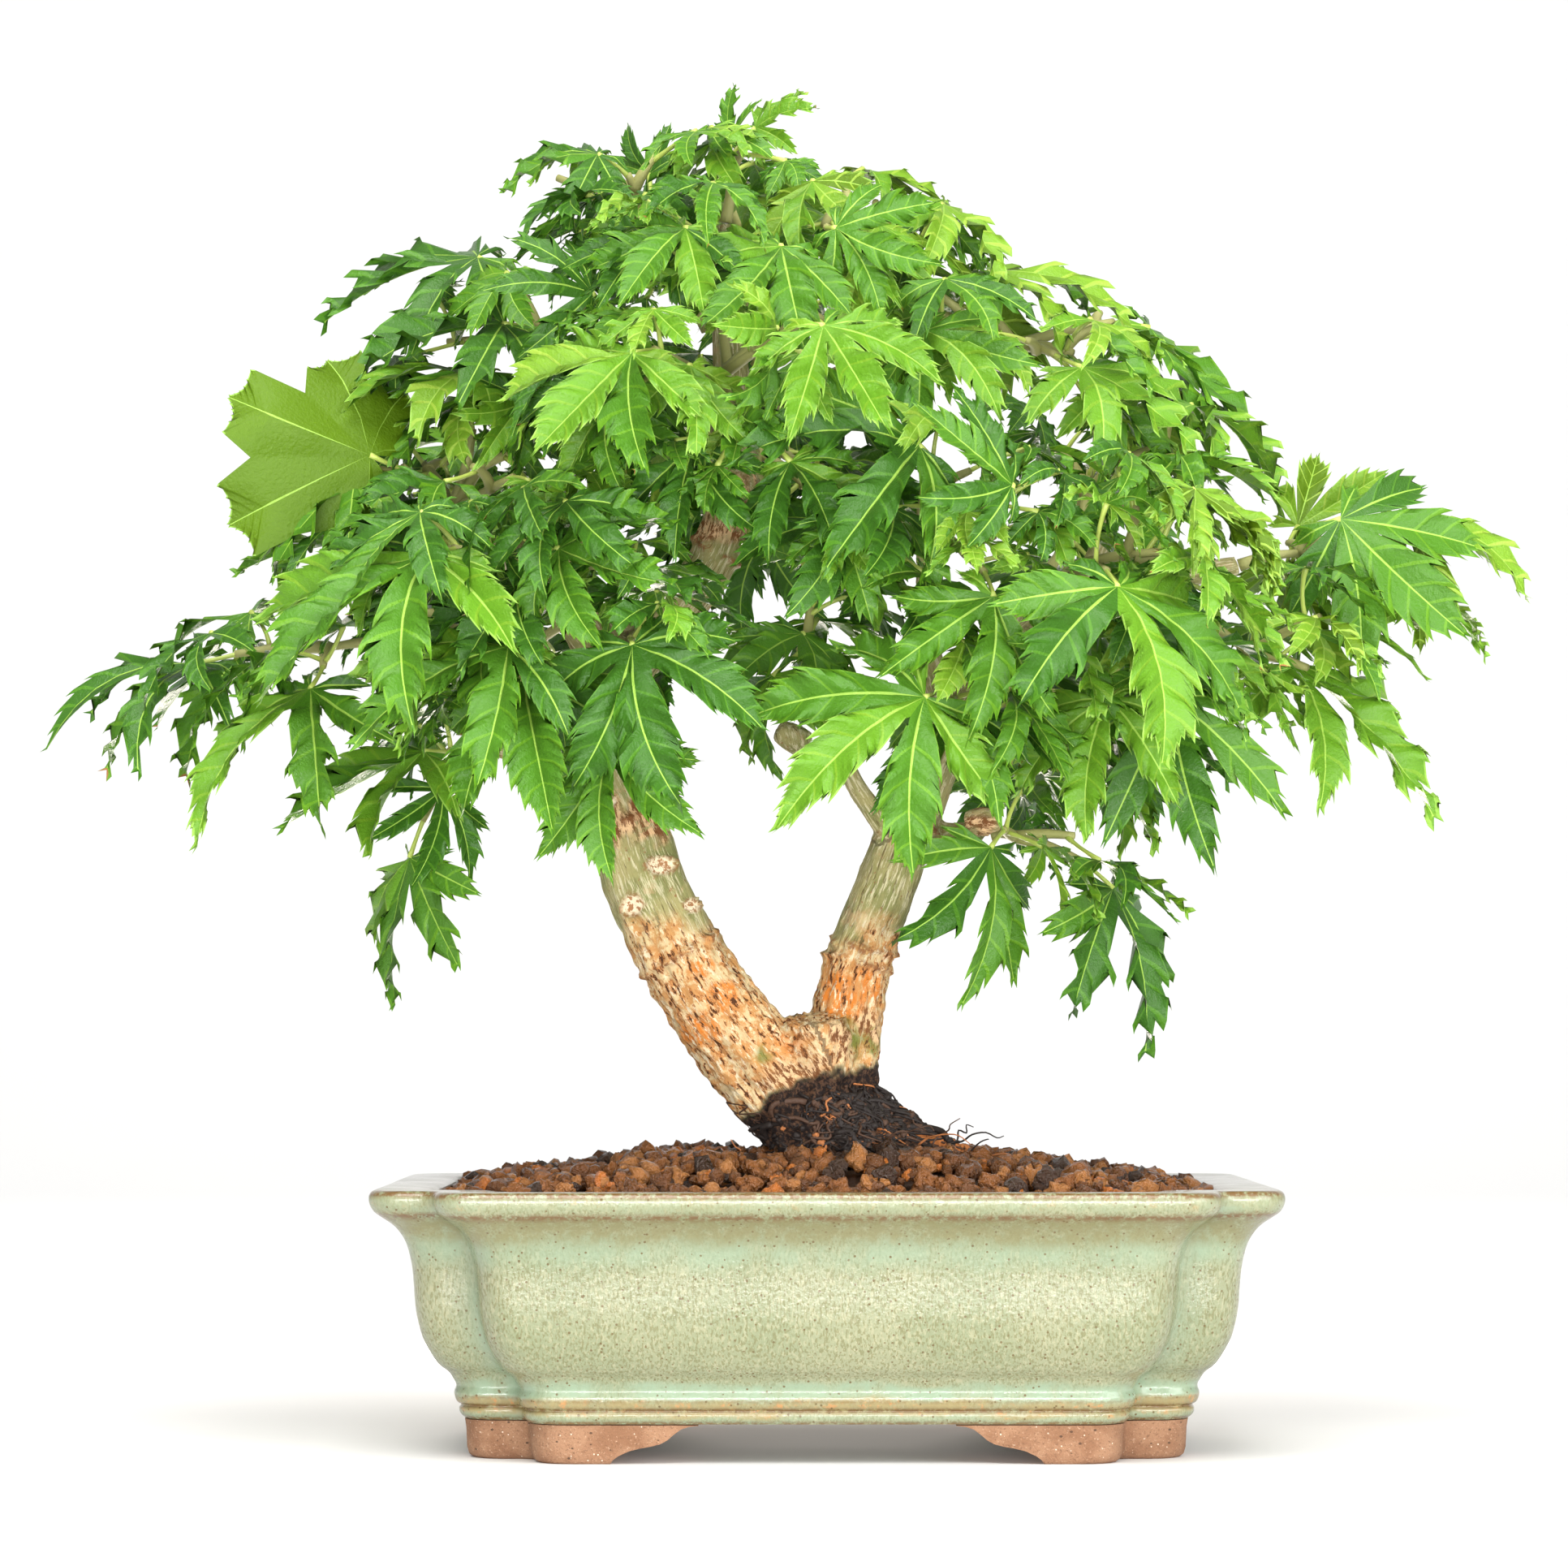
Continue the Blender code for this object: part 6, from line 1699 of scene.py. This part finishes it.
class LeafPlan:
    """Which points and faces make a leaf: the same for every leaf, so it is worked out once.

    The hub is point 0. Each lobe has a middle line, and on either hand four columns out to its edge.
    Its first rows reach the rays, which run from the hub out to the notches between the lobes.
    """

    def __init__(self, tooth):
        self.rows = [self.lobe_rows(teeth, tooth) for _, _, teeth, _ in BLADE_LOBES]
        self.count = 1
        self.rays = self.take((len(BLADE_LOBES) + 1) * INNER_ROWS).reshape(-1, INNER_ROWS)
        self.centre, self.side = [], []
        for rows in self.rows:
            self.centre.append(self.take(INNER_ROWS + len(rows)))
            self.side.append([self.take((INNER_ROWS + len(rows)) * 4).reshape(-1, 4) for _ in (0, 1)])
        self.tips = self.take(len(BLADE_LOBES))
        self.faces, self.kinds, self.lobes = [], [], []
        for lobe, rows in enumerate(self.rows):
            for hand in (0, 1):
                self.half_lobe(lobe, rows, hand)

    def take(self, count):
        """The numbers of so many new points."""
        self.count += count
        return np.arange(self.count - count, self.count)

    @staticmethod
    def lobe_rows(teeth, tooth_rows):
        """(place up the lobe, share of its width, place in the tooth, lead of its edge, a vein or not)."""
        rows = []
        for tooth in range(teeth):
            low, high = (1 - (1 - t / teeth) ** 1.12 for t in (tooth, tooth + 1))
            for place, share, lead, vein in tooth_rows:
                if tooth or place > 0.1:
                    rows.append((low + (high - low) * place, share, place, lead * (high - low), vein))
        return rows

    def half_lobe(self, lobe, rows, hand):
        """The faces between a lobe's middle line and one of its edges, from the hub to the tip."""
        columns = np.concatenate([self.centre[lobe][:, None], self.side[lobe][hand]], axis=1)
        columns[:INNER_ROWS, 4] = self.rays[lobe + hand]
        before = np.zeros(5, dtype=int)
        for row, here in enumerate(columns):
            vein_row = row > INNER_ROWS and rows[row - INNER_ROWS][4]
            for c in range(4):
                kind = RIB if c == 0 else VEIN if vein_row and c < 3 else BLADE
                kind = EDGE if c == 3 and row > INNER_ROWS else kind
                self.add_face((before[c], before[c + 1], here[c + 1], here[c]), kind, lobe, hand)
            before = here
        for c in range(4):
            self.add_face((before[c], before[c + 1], self.tips[lobe]), TIP, lobe, hand)

    def add_face(self, face, kind, lobe, hand):
        """Adds a face without its repeated corners, with its upper side up on either hand."""
        face = [int(i) for i in dict.fromkeys(face)]
        if len(face) > 2:
            self.faces.append(face if hand else face[::-1])
            self.kinds.append(kind)
            self.lobes.append(lobe)


def lobe_frame(leaf, angle, roll):
    """A lobe's own directions: across it, forward to its tip, and out of its upper side."""
    along, up = np.array(leaf["along"]), np.array(leaf["up"])
    side = np.cross(along, up)
    turn = math.radians(angle * leaf["spread"])
    drop = math.radians(LEAF_DROOP) * min(abs(angle) / 90, 1.2)
    flat = along * math.cos(turn) + side * math.sin(turn)
    over = up * math.cos(drop) + flat * math.sin(drop)
    across = side * math.cos(turn) - along * math.sin(turn)
    return (
        across * math.cos(roll) + over * math.sin(roll),
        flat * math.cos(drop) - up * math.sin(drop),
        over * math.cos(roll) - across * math.sin(roll),
    )


def lobe_line(place, reach, arch, bend):
    """The middle line of a lobe in its own frame: across, forward, up."""
    return np.stack([4 * bend * place * (1 - place), place * reach, 4 * arch * place * (1 - place)], axis=1)


def leaf_points(plan, leaf, draw):
    """The points of a finely cut leaf in the place of a packed one: folded, arched, quilted and curled.

    A leaf with shallow notches has broad lobes, and the one with a web is broad to its very edge.
    """
    length, hub = leaf["length"], np.array(leaf["hub"])
    points = np.zeros((plan.count, 3))
    points[0] = hub
    broad = leaf["notch"] / NOTCH
    webbed = "web" in leaf
    sinus_foot = leaf["web"] if webbed else SINUS_FOOT * broad
    halves = {}
    fold = math.radians(draw.uniform(14, 44))
    slim = draw.uniform(0.7, 1.04)
    inner = np.arange(1, INNER_ROWS + 1) / INNER_ROWS * sinus_foot
    for lobe, (angle, share, _, width) in enumerate(BLADE_LOBES):
        across, forward, over = lobe_frame(leaf, angle, math.radians(draw.uniform(-15, 15)))
        reach = length * (leaf["shares"][lobe] if webbed else share)
        rows = np.array(plan.rows[lobe])
        height, ratio, in_tooth, lead = rows[:, :4].T
        place = sinus_foot + (1 - sinus_foot) * height
        body = np.interp(height, *LOBE_SHAPE) * width * broad**0.5 * slim * draw.uniform(0.92, 1.1)
        body = np.maximum(body, np.interp(height, (0, 0.12), (0.1, 0)) * min(1, broad))
        if webbed:
            body = np.interp(height, *WEB_SHAPE)
        half = body * (1 + (ratio - 1) / max(1, broad) ** 2) * reach
        arch, bend = draw.uniform(0.03, 0.16) * reach, draw.uniform(-0.09, 0.09) * reach
        tilt = math.tan(fold) * draw.uniform(0.7, 1.3)
        curl, ripple, phase = draw.uniform(0.05, 0.5), draw.uniform(0.0, 0.09), draw.uniform(0, 6.28)
        spine = lobe_line(np.concatenate([inner, place]), reach, arch, bend)
        points[plan.centre[lobe]] = hub + spine @ np.array((across, forward, over))
        points[plan.tips[lobe]] = hub + forward * reach
        rib = np.interp(place, (0, 1), RIB_WIDTH) * length / FULL_LENGTH
        edge = EDGE_WIDTH * length / FULL_LENGTH
        columns = [np.minimum(rib, half * 0.5), half * 0.55, np.maximum(half - edge, half * 0.7), half]
        columns = np.stack(columns, axis=1)
        half = half[:, None]
        t = columns / np.maximum(half, 1e-6)
        for hand, sign in ((0, -1), (1, 1)):
            lift = columns * tilt - curl * tilt * half * t**3
            lift += 0.24 * half * t * (1 - t) * 4 * (np.sin(np.pi * in_tooth)[:, None] - 0.35)
            lift += ripple * reach * t**2 * np.sin(place * 21 + phase + sign)[:, None]
            forth = SLANT * columns * np.interp(place, (0, 0.75, 1), (1, 0.9, 0.4))[:, None]
            middle = spine[INNER_ROWS:]
            ahead = middle[:, 1:2] + forth + lead[:, None] / max(1, broad) * reach * t**4
            so_far = np.clip(ahead / reach, 0, 1)
            lift += 4 * arch * so_far * (1 - so_far)
            aside = middle[:, :1] + sign * columns
            grid = hub + np.stack([aside, ahead, lift], axis=2) @ (across, forward, over)
            halves[lobe, hand] = height, grid
    join_lobes(plan, leaf, points, halves)
    return points


def join_lobes(plan, leaf, points, halves):
    """Draws each two lobes' edges together at their notch, and sets the rays out to the notches."""
    webbed, hub = "web" in leaf, points[0]
    shares = leaf["rays"] if webbed else [share * leaf["notch"] / NOTCH for share in RAY_SHARES]
    notches = []
    for ray, share in enumerate(shares):
        touching = [halves[key][1][0, 3] for key in ((ray - 1, 1), (ray, 0)) if key in halves]
        middle = sum(touching) / len(touching) - hub
        notches.append(hub + middle / np.linalg.norm(middle) * share * leaf["length"])
        for j in range(INNER_ROWS):
            points[plan.rays[ray][j]] = hub + (notches[-1] - hub) * (j + 1) / INNER_ROWS
    for (lobe, hand), (height, grid) in halves.items():
        fade = np.clip(1 - height / 0.22, 0, 1) ** 2
        pull = fade[:, None] * np.array([0.02, 0.5, 0.95, 1.0])
        ids = plan.side[lobe][hand]
        points[ids[INNER_ROWS:]] = grid + (notches[lobe + hand] - grid[0, 3]) * pull[..., None]
        columns = np.array([0.025 if webbed else 0.08, 0.5, 0.9, 1.0])[:, None]
        for j in range(INNER_ROWS):
            core, rim = points[plan.centre[lobe][j]], points[plan.rays[lobe + hand][j]]
            points[ids[j]] = core + (rim - core) * columns


def stalk_tube(leaf):
    """(points, faces) of a thin stalk that curves from its twig to the leaf's hub."""
    root, hub = leaf["root"], leaf["hub"]
    middle = (root + hub) / 2 - leaf["along"] * (hub - root).length * 0.16 + Vector((0, 0, -0.6))
    shares = [i / 6 for i in range(7)]
    path = [root * (1 - t) ** 2 + middle * (2 * t * (1 - t)) + hub * t * t for t in shares]
    return sweep(path, [0.72 - 0.2 * math.sin(math.pi * t) for t in shares], 6)


def twig_tube(line, draw):
    """(points, faces) of a twig that tapers and sags up or aside a little in its middle."""
    middle = (line[0] + line[1]) / 2 + Vector((draw.uniform(-1, 1), draw.uniform(-1, 1), 0.6))
    path = smooth_path([line[0], middle, line[1]], 4)
    thick, thin = TWIG_TAPER
    radii = [thick + (thin - thick) * k / (len(path) - 1) for k in range(len(path))]
    return sweep(path, radii, 8)


def turn_big_leaf(masses):
    """The broad pale leaf at the left, whose blade is turned to the front and hardly notched."""
    leaf = masses[BIG_LEAF["mass"]]["leaves"][0]
    along = (Vector(BIG_LEAF["tip"]) - leaf["hub"]).normalized()
    up = Vector(BIG_LEAF["up"])
    leaf.update(along=along, up=(up - along * up.dot(along)).normalized())
    leaf.update({key: BIG_LEAF[key] for key in ("length", "notch", "spread", "web", "shares", "rays")})


def leaf_tints(plan, leaf, spray, draw):
    """The place of each face's colour in LEAF_GREENS. Each lobe strays a little from its leaf's green."""
    tint = draw.choice(spray)
    dry = draw.random() < DRY_SHARE
    greens = [max(0, min(YELLOW, tint + draw.choice((-1, 0, 0, 0, 1)))) for _ in BLADE_LOBES]
    if "web" in leaf:
        greens = [YELLOW] * len(BLADE_LOBES)
    tints = []
    for kind, lobe in zip(plan.kinds, plan.lobes):
        green = greens[lobe]
        vein = green if "web" in leaf else green + 1 if green < 3 else LEAF_TINTS["vein"]
        # a face on the leaf's edge is painted one step paler than its blade: a painted highlight along the
        # margin
        edge = LEAF_TINTS["edge"] if green > 1 else green + 1
        tip = LEAF_TINTS["dry"] if dry else green
        tints.append({BLADE: green, RIB: LEAF_TINTS["rib"], EDGE: edge, TIP: tip, VEIN: vein}[kind])
    return tints


def make_leaves(greens, stalk_green, twig_brown, masses):
    """For every mass: its leaves, and its stalks and twigs, each kind joined into one piece."""
    toothed, plain = LeafPlan(TOOTH), LeafPlan(PLAIN_TOOTH)
    for name, mass in masses.items():
        draw = random.Random("look " + name)
        blades, stalks, twigs = Batch(), Batch(), Batch()
        # each part's greens hold painted shade at the back and painted light at the right
        spray = next((spray for part, spray in SHADED_AND_LIT_SPRAYS.items() if part in name), SHADED_AND_LIT_SPRAYS["centre"])
        for number, leaf in enumerate(mass["leaves"]):
            plan = toothed if leaf["hub"].y < FINE_FRONT or leaf["length"] > FINE_LENGTH else plain
            tints = leaf_tints(plan, leaf, spray, draw)
            shape = leaf_points(plan, leaf, draw)
            if number not in LEFT_OUT.get(name, ()):
                blades.add(shape, plan.faces, tints)
                stalks.add(*stalk_tube(leaf))
        for line in [mass["stem"]] + mass["twigs"]:
            twigs.add(*twig_tube(line, draw))
        foliage = blades.piece(name + "_blades", greens)
        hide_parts(name)
        pieces = [(foliage, "leaf"), (stalks.piece(name + "_stalks", [stalk_green]), "leaf")]
        pieces.append((twigs.piece(name + "_twigs", [twig_brown]), "bark"))


def add_light(name, place, aim, width, height, power, colour):
    """A lamp that shines from one place, in millimetres round the pot, towards another."""
    light = bpy.data.lights.new(name, "AREA")
    light.shape, light.size, light.size_y = "RECTANGLE", width, height
    light.energy, light.color = power, colour
    place, aim = Vector(in_world(place)), Vector(in_world(aim))
    lamp = link_object(name, light)
    lamp.location = place
    lamp.rotation_euler = (aim - place).to_track_quat("-Z", "Y").to_euler()


def make_stage(material):
    """A white floor that curves up into the backdrop, in metres."""
    middle = in_world((0, 0, 0))
    profile = [(-4.0, 0.0), (FLOOR_END, 0.0)]
    for turn in range(6, 91, 6):
        turn = math.radians(turn)
        profile.append((FLOOR_END + FLOOR_CURVE * math.sin(turn), FLOOR_CURVE - FLOOR_CURVE * math.cos(turn)))
    profile.append((FLOOR_END + FLOOR_CURVE, 5.0))
    points = [(x, y + middle[1], z) for y, z in profile for x in (-6.0, 6.0)]
    faces = [(2 * k, 2 * k + 1, 2 * k + 3, 2 * k + 2) for k in range(len(profile) - 1)]
    mesh = bpy.data.meshes.new("sweep")
    mesh.from_pydata(points, [], faces)
    mesh.materials.append(material)
    mesh.shade_smooth()
    stage = link_object("sweep", mesh)


def make_camera():
    """The camera, where the eye of the crown's outline is."""
    camera = bpy.data.cameras.new("camera")
    camera.lens, camera.sensor_width, camera.clip_start = LENS, 36.0, 0.05
    holder = link_object("camera", camera)
    holder.location = in_world(EYE)
    holder.rotation_euler = (math.radians(CAMERA_TILT), 0, 0)
    bpy.context.scene.camera = holder


def make_world(strength):
    """Even white light from all round."""
    world = bpy.data.worlds.new("studio")
    world.use_nodes = True
    background = world.node_tree.nodes["Background"]
    background.inputs["Color"].default_value = (1, 1, 1, 1)
    background.inputs["Strength"].default_value = strength
    bpy.context.scene.world = world


def main():
    bpy.context.scene.view_settings.view_transform = "Standard"
    make_world(ROOM_LIGHT)
    make_stage(plain_pattern("paper", PAPER, 0.9, 40, 0.05))
    make_camera()
    for light in LIGHTS:
        add_light(*light)
    make_pot(glaze_material())
    make_feet(stoneware_material())
    wet = {"Specular_IOR_Level": 0.6}
    make_soil([plain_pattern(f"granule_{i}", c, 0.22, 0.8, 1.5, **wet) for i, c in enumerate(SOIL_BROWNS)])
    bark = make_bark(bark_material())
    fibre_browns = [plain_pattern(f"fibre_{i}", c, 0.7, 0.8, 0.3) for i, c in enumerate(FIBRE_BROWNS)]
    make_root_fibres(bark, fibre_browns)
    soft = {"Specular_IOR_Level": 0.25}
    greens = [plain_pattern(f"leaf_{name}", c, matt, 0.9, 0.3, **soft) for name, c, matt in LEAF_GREENS]
    stalk_green = plain_pattern("stalk", STALK_GREEN, 0.4, 0.8, 0.05)
    twig_brown = plain_pattern("twig", TWIG_BROWN, 0.6, 0.6, 0.15)
    masses, space = grow(make_limbs())
    turn_big_leaf(masses)
    grow_finer_leads(masses, space)
    grow_finer(masses, space)
    make_leaves(greens, stalk_green, twig_brown, masses)


main()
